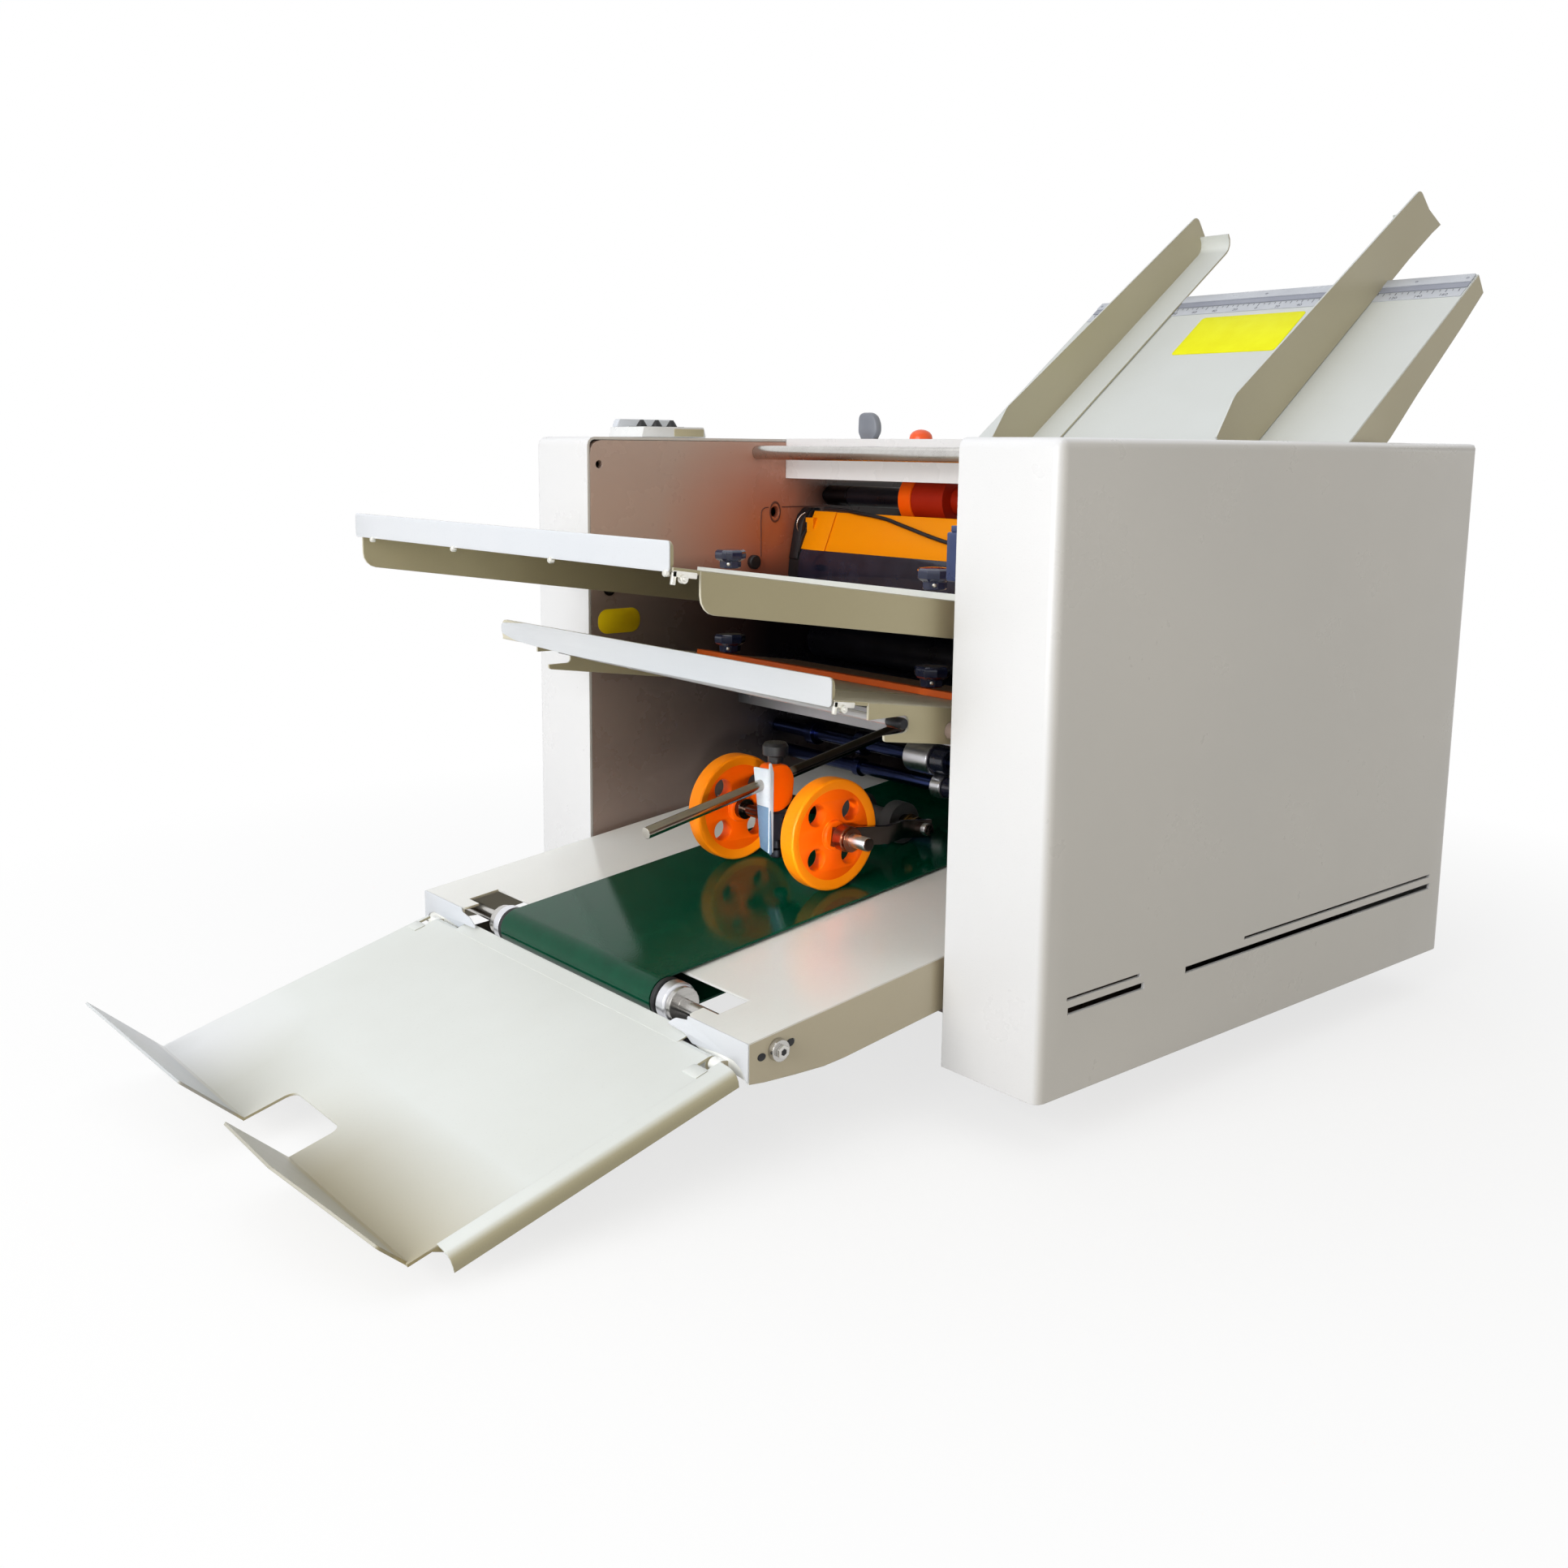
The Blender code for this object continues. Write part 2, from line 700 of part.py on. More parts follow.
piece("top_cover", channel, "white_paint", joins=(together(ears),), cuts=(together(openings),))

# Pressure lever on a pin between the ears
lever_thick = 0.004
lever_foot = 0.005
lever_reach = 0.0355
lever_foot_round = 0.003
lever_tip_round = 0.0035
pin_past = 0.0045
lever = placed(
    flat(rounded([
        (-lever_thick, -lever_foot, lever_foot_round), (lever_thick, -lever_foot, lever_foot_round),
        (lever_thick, lever_reach, lever_tip_round), (-lever_thick, lever_reach, lever_tip_round)]), 2 * lever_half),
    side(lever_y, *lever_pivot))
pin = placed(rod(lever_pin_radius, -lever_half - pin_past, lever_half + pin_past, 16), spindle(*lever_pivot, lever_y))
piece("pressure_lever", lever, "grey", pivot=(lever_pivot[0], lever_y, lever_pivot[1]), joins=(pin,))

# Dome button, held up by its flange under the cover
dome_flange = 0.002
dome_flange_sheet = 0.003
dome_proud = 0.0026
dome_rise = 0.005
under_cover = cover_top_z - cover_sheet - fit_gap
dome_profile = [(0, under_cover - dome_flange_sheet), (dome_radius + dome_flange, under_cover - dome_flange_sheet),
                (dome_radius + dome_flange, under_cover), (dome_radius, under_cover),
                (dome_radius, cover_top_z + dome_proud)]
dome_profile += [
    (dome_radius * math.cos(math.radians(a)), cover_top_z + dome_proud + dome_rise * math.sin(math.radians(a)))
    for a in (25, 50, 72)]
dome_profile.append((0, cover_top_z + dome_proud + dome_rise))
dome = placed(turned(dome_profile, 24), Matrix.Translation((*dome_place, 0)))
piece("dome_button", dome, "orange", pivot=(*dome_place, under_cover))

# Tie bar between the frames
tie_radius = 0.0053
tie_x = 0.1565
tie_drop = 0.0105
piece("tie_bar", placed(rod(tie_radius, -between, between), spindle(tie_x, casing_height - tie_drop)), "steel")

# Control panel on the far casing, with three keys in blind holes
panel_y = machine_width / 2 - casing_width / 2
panel_bottom = casing_height + fit_gap
panel_front_x = 0.047
panel_rear_x = 0.132
panel_height = 0.0079
panel_width = 0.046
panel_taper = 0.002
panel_round = 0.003
hood_inset = 0.001
hood_taper = 0.005
hood_height = 0.0137
hood_round = 0.004
hood_sheet = 0.0025
hood_offset = 0.021
key_middle_x = 0.086
key_spacing = 0.014
key_xs = (key_middle_x - key_spacing, key_middle_x, key_middle_x + key_spacing)
key_radius = 0.0042
key_floor = 0.0020
key_base = 0.0055
key_shoulder = 0.0085
key_tip = 0.0130
key_tip_radius = 0.0014
housing = placed(
    flat(rounded([
        (panel_front_x, panel_bottom), (panel_rear_x, panel_bottom),
        (panel_rear_x - panel_taper, panel_bottom + panel_height, panel_round),
        (panel_front_x + panel_taper, panel_bottom + panel_height, panel_round)]), panel_width),
    side(panel_y))
hood = placed(
    flat(rounded([
        (panel_front_x + hood_inset, panel_bottom + hood_inset), (panel_rear_x - hood_inset, panel_bottom + hood_inset),
        (panel_rear_x - hood_taper, panel_bottom + hood_height, hood_round),
        (panel_front_x + hood_taper, panel_bottom + hood_height, hood_round)]), hood_sheet),
    side(panel_y + hood_offset))
key_holes = [
    placed(rod(key_radius + turn_gap, panel_bottom + key_floor, panel_bottom + hood_height + overrun, 16),
           Matrix.Translation((x, panel_y, 0)))
    for x in key_xs]
piece("panel_housing", housing, "clear", joins=(hood,), cuts=(together(key_holes),))
for number, x in enumerate(key_xs, 1):
    profile = [(0, panel_bottom + key_base), (key_radius, panel_bottom + key_base),
               (key_radius, panel_bottom + key_shoulder), (key_tip_radius, panel_bottom + key_tip),
               (0, panel_bottom + key_tip)]
    key = placed(turned(profile, 16), Matrix.Translation((x, panel_y, 0)))
    piece("panel_key_" + str(number), key, "black", pivot=(x, panel_y, panel_bottom + key_base))

# Feed tray: sloped sheet that bends into a level table under the feed roller
table_lip_run = 0.004
table_lip_drop = 0.006
table_skirt_lead = 0.010
table_skirt_depth = 0.024
feed_skirt_depth = 0.032
feed_skirt_tip_share = 0.4906
# Points of the skirt's lower edge, as shares of the tray's reach and the skirt's depth
feed_skirt_shares = ((0.8146, 0.6125), (0.4293, 0.7969), (0.2098, 0.9469), (-0.0976, 1.0))
bend_x = feed_root[0] - (feed_root[1] - table_z) / math.tan(feed_slope)
tray_top = feed_point(feed_reach, 0)
feed_path = [(table_front_x - table_lip_run, table_z - table_lip_drop), (table_front_x, table_z), (bend_x, table_z),
             tray_top]
feed_sheet = placed(flat(strip(feed_path, plate_sheet), 2 * (feed_half_width - deep_lap)), side(0))
skirt_line = [(feed_reach - lap, -feed_skirt_depth * feed_skirt_tip_share)]
skirt_line += [(feed_reach * s, -feed_skirt_depth * h) for s, h in feed_skirt_shares]
feed_skirts = []
for sign in (-1, 1):
    outline = [(feed_x + table_skirt_lead, table_z - lap), (bend_x + lap, table_z - lap),
               feed_point(feed_reach - lap, -lap)]
    outline += [feed_point(s, h) for s, h in skirt_line]
    outline += [(bend_x - table_skirt_lead, table_z - table_skirt_depth),
                (feed_x + table_skirt_lead, table_z - table_skirt_depth)]
    feed_skirts.append(placed(flat(outline, thin_sheet), side(sign * (feed_half_width - thin_sheet / 2))))
piece("feed_tray", feed_sheet, "cream_paint", joins=(together(feed_skirts),))

# Separator pad under the feed roller
pad_half_length = 0.008
pad_half_width = 0.030
pad_round = 0.0006
pad_top = feed_axis[1] - feed_radius - fit_gap
pad = soft_block(
    feed_x - pad_half_length, feed_x + pad_half_length, -pad_half_width, pad_half_width, table_z + fit_gap, pad_top,
    pad_round, lambda mid: mid.z > pad_top - close and abs(mid.y) < pad_half_width - close, 2)
piece("separator_pad", pad, "rubber")

# Side guides: an upright sheet with a base flange, sliding across the tray
guide_lift = 0.0006
guide_step = 0.001
guide_bend = 0.0015
guide_tip_run = guide_reach - feed_reach
near_back = 0.044
near_dip = 0.002
near_height = 0.046
near_shoulder = 0.010
far_back = 0.040
far_dip = 0.001
far_height = 0.041
far_shoulder = 0.013
far_tip_inset = 0.004
shoulder_round = 0.020
guide_corner = 0.006
# Shares of the tip's run past the tray, and of each guide's height
near_tip_shares = ((0.3889, -0.0435), (0.8333, -0.0761), (1.0, -0.1087), (0.8889, 0.3261), (0.8444, 0.7717))
near_back_share = 0.7391
far_tip_shares = (-0.0854, 0.7805)
near_points = [(feed_reach + run * guide_tip_run, height * near_height) for run, height in near_tip_shares]
near_guide = rounded([
    (-near_back, guide_lift), (feed_reach + guide_step, guide_lift), (feed_reach + guide_bend, -near_dip),
    *near_points[:4], (*near_points[4], guide_corner), (-near_shoulder, near_height, shoulder_round),
    (-near_back, near_height * near_back_share)])
far_guide = rounded([
    (-far_back, guide_lift), (feed_reach + guide_step, guide_lift), (feed_reach + guide_bend, -far_dip),
    (guide_reach - far_tip_inset, far_height * far_tip_shares[0]),
    (guide_reach - far_tip_inset, far_height * far_tip_shares[1], guide_corner),
    (-far_shoulder, far_height, shoulder_round), (-far_back, far_height * far_tip_shares[1])])
flange_width = 0.030
curl_radius = 0.012
curl_inset = 0.0215
curl_s = guide_reach - curl_inset
curl = [
    (curl_s + curl_radius * math.sin(math.radians(a)), guide_lift + curl_radius * (1 - math.cos(math.radians(a))))
    for a in (20, 45, 70, 95)]
for name, outline, y, inward in (("near", near_guide, guide_near_y, 1), ("far", far_guide, guide_far_y, -1)):
    upright = placed(flat(outline, thin_sheet), side(y, *feed_root, feed_slope))
    base_path = [(-far_back, guide_lift), (curl_s, guide_lift), *curl]
    base_sheet = strip(base_path[::-1], thin_sheet)
    middle = y + inward * (flange_width / 2)
    flange = placed(flat(base_sheet, flange_width), side(middle, *feed_root, feed_slope))
    piece("guide_" + name, upright, "cream_paint", joins=(flange,))

# Feed shaft with its rollers, over the table
shaft_short = 0.001
shaft_end = frame_outer - shaft_short
sleeve_radius = 0.008
sleeve_inset = 0.030
sleeve_gap = 0.004
sleeve_in = inner_face - sleeve_inset
sleeve_out = inner_face - sleeve_gap
feed_core = 0.006
shaft_profile = [(0, -shaft_end), (journal_radius, -shaft_end), (journal_radius, -sleeve_out),
                 (sleeve_radius, -sleeve_out), (sleeve_radius, -sleeve_in), (feed_core, -sleeve_in), (feed_core, sleeve_in),
                 (sleeve_radius, sleeve_in), (sleeve_radius, sleeve_out), (journal_radius, sleeve_out),
                 (journal_radius, shaft_end), (0, shaft_end)]
feed_pivot = (feed_axis[0], 0, feed_axis[1])
piece("feed_shaft", placed(turned(shaft_profile, 16), spindle(*feed_axis)), "black", pivot=feed_pivot)
tyre_half = 0.079
tyre_edge = 0.001
waist_half = 0.033
waist_radius = 0.011
bore = feed_core + fit_gap
tyre_profile = [
    (bore, -tyre_half), (feed_radius - tyre_edge, -tyre_half), (feed_radius, tyre_edge - tyre_half),
    (feed_radius, -waist_half - tyre_edge), (waist_radius, -waist_half), (waist_radius, waist_half),
    (feed_radius, waist_half + tyre_edge), (feed_radius, tyre_half - tyre_edge), (feed_radius - tyre_edge, tyre_half),
    (bore, tyre_half)]
piece("feed_roller", placed(turned(tyre_profile, 28, ring=True), spindle(*feed_axis)), "orange", pivot=feed_pivot)

# Guards in front of the first fold roller
guard_top_lead = 0.011
guard_top_rise = 0.0436
guard_knee_lead = 0.024
guard_knee_rise = 0.0126
guard_toe_lead = 0.0235
guard_toe_rise = 0.0081
guard_side_gap = 0.014
guard_half = inner_face - guard_side_gap
guard_top = (roller_x - guard_top_lead, first_roller_z + guard_top_rise)
guard_knee = (roller_x - guard_knee_lead, first_roller_z + guard_knee_rise)
guard_path = [guard_top, guard_knee, (roller_x - guard_toe_lead, first_roller_z + guard_toe_rise)]
guard = placed(flat(strip(guard_path[::-1], plate_sheet), 2 * guard_half), side(0))
tab_root = 0.006
tab_front_lead = 0.0185
tab_rear_lead = 0.0115
tab_low_rise = 0.0266
tab_high_rise = 0.0386
guard_tabs = []
for sign in (-1, 1):
    tab = oblong(roller_x - tab_front_lead, roller_x - tab_rear_lead, first_roller_z + tab_low_rise,
                 first_roller_z + tab_high_rise)
    tab_start = guard_half - tab_root
    guard_tabs.append(placed(flat(tab, between - tab_start), side(sign * (between + tab_start) / 2)))
piece("upper_guard", guard, "orange", joins=(together(guard_tabs),))
hood_front_lead = 0.0275
hood_top_lead = 0.0265
hood_rear_lead = 0.0215
hood_low_drop = 0.0094
hood_top_rise = 0.0046
hood_foot_round = 0.002
hood_top_round = 0.001
hood_side_gap = 0.020
hood_half = inner_face - hood_side_gap
cover_line = rounded([
    (roller_x - hood_front_lead, first_roller_z - hood_low_drop, hood_foot_round),
    (roller_x - hood_rear_lead, first_roller_z - hood_low_drop),
    (roller_x - hood_rear_lead, first_roller_z + hood_top_rise),
    (roller_x - hood_top_lead, first_roller_z + hood_top_rise, hood_top_round)])
hood_bar = placed(flat(cover_line, 2 * hood_half), side(0))
hood_tab_root = 0.005
hood_tab_front = 0.026
hood_tab_rear = 0.022
hood_tab_drop = 0.0064
hood_tab_rise = 0.0016
hood_tab_start = hood_half - hood_tab_root
hood_tab = oblong(roller_x - hood_tab_front, roller_x - hood_tab_rear, first_roller_z - hood_tab_drop,
                  first_roller_z + hood_tab_rise)
hood_tabs = [
    placed(flat(hood_tab, between - hood_tab_start), side(sign * (between + hood_tab_start) / 2)) for sign in (-1, 1)]
piece("roller_cover", hood_bar, "black", joins=(together(hood_tabs),))
guard_normal = Vector((guard_knee[1] - guard_top[1], 0, guard_top[0] - guard_knee[0])).normalized()


def guard_point(share, across, lift):
    """A point down the guard by share of its height, across by share of its half width, lift off its face."""
    low = Vector((guard_knee[0], across * guard_half, guard_knee[1]))
    high = Vector((guard_top[0], across * guard_half, guard_top[1]))
    return high.lerp(low, share) + guard_normal * lift


wire_radius = 0.0014
wire_lift = 0.0022
# The wire's route: shares down the guard, across its half width, and of its lift
wire_shares = ((0.05, 0.6024, 1.591), (0.10, 0.4518, 1.3636), (0.18, 0.2108, 1), (0.25, -0.0602, 1),
               (0.35, -0.3614, 1), (0.55, -0.6627, 1), (0.75, -0.9036, 1.3636))
wire = [guard_point(down, across, wire_lift * lift) for down, across, lift in wire_shares]
piece("sensor_cable", cable(wire, wire_radius), "black")

# Fold rollers, each with its gear on the near end
roller_side_gap = 0.002
roller_face = inner_face - roller_side_gap
roller_shoulder = 0.002
journal_past = 0.002
near_end = gear_y - gear_face / 2 - journal_past
for number, ((x, z), phase) in enumerate(zip(fold_roller_axes, gear_phases), 1):
    profile = [
        (0, near_end), (journal_radius, near_end), (journal_radius, -roller_face),
        (fold_roller_radius - roller_shoulder, -roller_face), (fold_roller_radius, roller_shoulder - roller_face),
        (fold_roller_radius, roller_face - roller_shoulder), (fold_roller_radius - roller_shoulder, roller_face),
        (journal_radius, roller_face), (journal_radius, shaft_end), (0, shaft_end)]
    gear = placed(flat(gear_outline(roller_teeth, phase), gear_face), side(gear_y, x, z))
    roller = placed(turned(profile, 24), spindle(x, z))
    piece("fold_roller_" + str(number), roller, "steel", pivot=(x, 0, z), joins=(gear,))

# Drive gear on its stub, and the motor with its pinion
hub = placed(
    flat(gear_outline(drive_teeth, drive_phase), gear_face, [circle(0, 0, stub_radius + turn_gap, 24)]),
    side(gear_y, *drive_axis))
piece("drive_gear", hub, "steel", pivot=(drive_axis[0], gear_y, drive_axis[1]))
motor_radius = 0.036
motor_length = 0.1047
motor_edge = 0.004
motor_socket = 0.014
motor_front = -between
motor_rear = motor_front + motor_length
shaft_radius = 0.004
motor_shape = turned([
    (0, motor_front + motor_socket), (shaft_radius + turn_gap, motor_front + motor_socket),
    (shaft_radius + turn_gap, motor_front), (motor_radius, motor_front), (motor_radius, motor_rear - motor_edge),
    (motor_radius - motor_edge, motor_rear), (0, motor_rear)], 32)
piece("motor", placed(motor_shape, spindle(*motor_axis)), "black")
pinion_shaft = placed(rod(shaft_radius, near_end, motor_front + motor_socket - sunk, 24), spindle(*motor_axis))
pinion = placed(flat(gear_outline(pinion_teeth, pinion_phase), gear_face), side(gear_y, *motor_axis))
piece("motor_pinion", pinion_shaft, "steel", pivot=(motor_axis[0], gear_y, motor_axis[1]), joins=(pinion,))

# Fold plates: sheet with slots, a lip at the front and a skirt down each side
stop_slot_half = 0.0032
stop_slot_past = 0.020
stop_slot_margin = 0.060
plate_lap = 0.0012
lip_inset = 0.0015
lip_corner = 0.004


def fold_plate(name, plate_z, slope, lip_x, lip_drop, lip_rise, fronts):
    top_z = plate_z(lip_x)
    length = (plate_rear_x - lip_x) / math.cos(slope)
    outline = oblong(plate_lap, length, deep_lap - plate_half_width, plate_half_width - deep_lap)
    slots = []
    for sign in (-1, 1):
        first = stop_slot_margin / math.cos(slope)
        last = (stop_x + stop_slot_past - lip_x) / math.cos(slope)
        slots.append(slot(first, last, sign * stop_y, stop_slot_half))
    sheet = placed(flat(outline, plate_sheet, slots, start=-plate_sheet), level(top_z, lip_x, 0, -slope))
    lip_half = plate_half_width - lip_inset
    lip = placed(flat(oblong(-lip_half, lip_half, top_z - lip_drop, top_z + lip_rise, lip_corner), plate_sheet),
                 facing(lip_x + plate_sheet / 2))
    skirts = []
    for sign, front in zip((-1, 1), fronts):
        start_x = front[0][0]
        line = [
            (start_x, plate_z(start_x) - mid_lap), *front,
            (skirt_rear_x, plate_z(skirt_rear_x) - skirt_depth), (skirt_rear_x, plate_z(skirt_rear_x) - mid_lap)]
        skirts.append(placed(flat(rounded(line), thin_sheet), side(sign * (plate_half_width - thin_sheet / 2))))
    return piece(name, sheet, "white_paint", joins=(lip, together(skirts)))


near_skirt_lead = 0.017
far_skirt_lead = 0.004
skirt_front_round = 0.010
upper_fronts = [
    [(upper_lip_x + lead, upper_z(upper_lip_x + lead) - skirt_depth, skirt_front_round)]
    for lead in (near_skirt_lead, far_skirt_lead)]
fold_plate("upper_fold_plate", upper_z, upper_slope, upper_lip_x, upper_lip_drop, upper_lip_rise, upper_fronts)
rod_x = -0.029
hook_back = 0.006
hook_lead = 0.012
hook_drop = 0.0057
hook_mouth = 0.0095
hook_round = 0.003
hook_toe_round = 0.002
near_hook_lead = 0.024
far_hook_lead = 0.021
hook_rear = rod_x + hook_back
hook_front = rod_x - hook_lead
hook_high = lower_z(hook_rear) - hook_drop
hook_low = hook_high - hook_mouth
lower_fronts = [
    [(rod_x - lead, hook_high + mid_lap), (hook_rear, hook_high, hook_round), (hook_rear, hook_low, hook_round),
     (hook_front, hook_low), (hook_front, lower_z(hook_front) - skirt_depth, hook_toe_round)]
    for lead in (near_hook_lead, far_hook_lead)]
fold_plate("lower_fold_plate", lower_z, lower_slope, lower_lip_x, lower_lip_drop, lower_lip_rise, lower_fronts)

# Cross rod that hangs in the hooks of the lower plate's skirts
rod_z = (hook_low + hook_high) / 2
cross_radius = 0.003
cross_cap = 0.0044
cross_past = 0.0035
cross_cap_in = 0.004
cross_end = plate_half_width + cross_past
cap_start = plate_half_width - cross_cap_in
cross_profile = [
    (0, -cross_end), (cross_cap, -cross_end), (cross_cap, -cap_start), (cross_radius, -cap_start),
    (cross_radius, cap_start), (cross_cap, cap_start), (cross_cap, cross_end), (0, cross_end)]
piece("cross_rod", placed(turned(cross_profile, 20), spindle(rod_x, rod_z)), "grey")

# Fold stops: a bar on each plate, clamped by two knobs whose studs pass the slots
knob_radius = 0.013
knob_neck = 0.006
knob_edge = 0.0015
knob_foot = 0.005
knob_skirt = 0.006
knob_shoulder = 0.012
knob_height = 0.014
stud_radius = 0.0025
stud_past = 0.005
bar_top = 0.004
bar_half_depth = 0.006
bar_inset = 0.040
bar_corner = 0.002
bar_reach = plate_half_width - bar_inset
stop_names = (("upper", upper_z, upper_slope, "cream_paint"), ("lower", lower_z, lower_slope, "orange"))
for name, plate_z, slope, color in stop_names:
    lift = fit_gap / math.cos(slope)
    base_matrix = level(plate_z(stop_x) + lift, stop_x, 0, -slope)
    bar_holes = [circle(0, sign * stop_y, stud_radius + turn_gap, 16) for sign in (-1, 1)]
    bar_line = oblong(-bar_half_depth, bar_half_depth, -bar_reach, bar_reach, bar_corner)
    bar = placed(flat(bar_line, bar_top, bar_holes, start=0), base_matrix)
    stop_pivot = base_matrix @ Vector((0, 0, 0))
    piece(name + "_stop_bar", bar, color, pivot=stop_pivot)
    for sign in (-1, 1):
        profile = [
            (0, -plate_sheet - stud_past), (stud_radius, -plate_sheet - stud_past), (stud_radius, bar_top + fit_gap),
            (knob_neck, bar_top + fit_gap), (knob_neck, bar_top + knob_foot), (knob_radius, bar_top + knob_skirt),
            (knob_radius, bar_top + knob_shoulder), (knob_radius - knob_edge, bar_top + knob_height),
            (0, bar_top + knob_height)]
        matrix = base_matrix @ Matrix.Translation((0, sign * stop_y, 0))
        knob = placed(turned(profile, 12), matrix)
        piece(name + "_knob_" + mirror_pair(sign), knob, "navy", pivot=matrix.translation)

# Score shafts at the way out of the fold rollers
score_wheel_y = 0.014
score_wheel_half = 0.012
score_wheel_radius = 0.01135
score_nip_y = -0.00365
score_nip_half = 0.00485
score_nip_radius = 0.0085
score_ring_half = 0.004
score_ring_radius = 0.009
score_small_half = 0.003
score_small_radius = 0.007
# Where the rings sit, as shares of the bay's half width
upper_ring_shares = (-0.6444, -0.3111, 0.4389, 0.7444)
lower_ring_shares = (-0.6278, 0.4556)
upper_collars = [(score_wheel_y, score_wheel_half, score_wheel_radius)]
upper_collars += [(share * inner_face, score_ring_half, score_ring_radius) for share in upper_ring_shares]
lower_collars = [(score_nip_y, score_nip_half, score_nip_radius)]
lower_collars += [(share * inner_face, score_small_half, score_small_radius) for share in lower_ring_shares]
for name, z, collars in zip(("upper", "lower"), score_heights, (upper_collars, lower_collars)):
    profile = [(0, -shaft_end), (journal_radius, -shaft_end)]
    for middle, half, radius in sorted(collars):
        profile += [(journal_radius, middle - half), (radius, middle - half), (radius, middle + half),
                    (journal_radius, middle + half)]
    profile += [(journal_radius, shaft_end), (0, shaft_end)]
    shaft = placed(turned(profile, 16), spindle(score_x, z))
    piece("score_shaft_" + name, shaft, "black", pivot=(score_x, 0, z))

# Conveyor deck: sheet with a skirt down each side and a flange at each front corner
bay_clear = 0.0146
bay_inset = 0.0405
arm_inset = 0.0535
arm_depth = 0.0113
arm_round = 0.004
deck_length = (deck_rear_x - deck_front_x) / math.cos(deck_slope)
bay = (front_roller_inset + bay_clear) / math.cos(deck_slope)
bay_half = deck_half_width - bay_inset
arm_half = deck_half_width - arm_inset
deck_outline = rounded([
    (hair_lap, deep_lap - deck_half_width), (deck_length, deep_lap - deck_half_width),
    (deck_length, deck_half_width - deep_lap), (hair_lap, deck_half_width - deep_lap), (hair_lap, arm_half, arm_round),
    (arm_depth, arm_half), (arm_depth, bay_half), (bay, bay_half), (bay, -bay_half), (arm_depth, -bay_half),
    (arm_depth, -arm_half), (hair_lap, -arm_half, arm_round)])
deck_top = placed(flat(deck_outline, thin_sheet, start=-thin_sheet), level(deck_front_z, deck_front_x, 0, deck_slope))
deck_skirt = 0.0318
# The skirt's lower edge, from the rear: shares of the deck's run and of the skirt's depth
deck_skirt_shares = ((1.0, 0.984), (0.3821, 0.975), (0.1845, 1.0), (0.1428, 0.978), (0.0871, 0.8805), (0.0287, 0.7642),
                     (0.0, 0.6855))
skirt_line = []
for run, depth in deck_skirt_shares:
    x = deck_front_x + run * (deck_rear_x - deck_front_x)
    skirt_line.append((x, deck_z(x) - depth * deck_skirt))
skirt_line[0] = (skirt_line[0][0] - hair_lap, skirt_line[0][1])
axle_radius = 0.004
head_slot_half = 0.0014
front_slot_lead = 0.0114
rear_slot_lead = 0.0091
head_slot_run = 0.0015
front_slot_drop = 0.0020
rear_slot_rise = 0.0021
front_slot_x = front_roller_x - front_slot_lead
rear_slot_x = front_roller_x + rear_slot_lead
deck_pieces = []
for sign in (-1, 1):
    outline = [(deck_front_x, deck_z(deck_front_x) - lap), *reversed(skirt_line), (deck_rear_x, deck_z(deck_rear_x) - lap)]
    holes = [
        circle(front_roller_x, front_roller_z, axle_radius + turn_gap, 20),
        slot(front_slot_x, front_slot_x + head_slot_run, front_roller_z - front_slot_drop, head_slot_half, 3),
        slot(rear_slot_x, rear_slot_x + head_slot_run, front_roller_z + rear_slot_rise, head_slot_half, 3)]
    deck_pieces.append(placed(flat(outline, thin_sheet, holes), side(sign * (deck_half_width - thin_sheet / 2))))
flange_sink = 0.0001
flange_inset = 0.0525
flange_round = 0.003
flange_depth = 0.0212
# Lower edge of the flange: shares of its width, from the arm outward, and of its depth
flange_shares = ((0.0, 0.6038), (0.4762, 0.9245), (0.8571, 0.9528))
flange_start = deck_half_width - flange_inset
flange_end = deck_half_width - hair_lap
deck_flanges = []
for sign in (-1, 1):
    corners = [(flange_start, deck_front_z - mid_lap, flange_round)]
    corners += [(flange_start + run * flange_inset, deck_front_z - depth * flange_depth) for run, depth in flange_shares]
    corners += [(flange_end, deck_front_z - flange_depth), (flange_end, deck_front_z - mid_lap)]
    outline = rounded([(sign * c[0], *c[1:]) for c in corners])
    deck_flanges.append(placed(flat(outline, thin_sheet), facing(deck_front_x + flange_sink + thin_sheet / 2)))
knuckle_near_inset = 0.025
knuckle_width = 0.0075
knuckle_neck = 0.0025
knuckle_nose = 0.0005
knuckle_round_shares = (0.905, 0.762)
pin_radius = 0.0018
knuckle_near = deck_half_width - knuckle_near_inset
knuckle_far = knuckle_near + knuckle_width
knuckle_rounds = [hinge_barrel_radius * share for share in knuckle_round_shares]
knuckle_pieces = []
for sign in (-1, 1):
    middle = sign * (knuckle_near + knuckle_far) / 2
    outline = rounded([
        (deck_front_x + sunk, hinge_z + knuckle_neck),
        (tray_hinge_x, hinge_z + hinge_barrel_radius, knuckle_rounds[0]),
        (tray_hinge_x - hinge_barrel_radius, hinge_z + knuckle_nose, knuckle_rounds[1]),
        (tray_hinge_x, hinge_z - hinge_barrel_radius, knuckle_rounds[0]),
        (deck_front_x + sunk, hinge_z - knuckle_neck)])
    hole = circle(tray_hinge_x, hinge_z, pin_radius + turn_gap, 12)
    knuckle_pieces.append(placed(flat(outline, knuckle_width, [hole]), side(middle)))
piece("conveyor_deck", deck_top, "cream_paint",
      joins=(together(deck_pieces), together(deck_flanges), together(knuckle_pieces)))


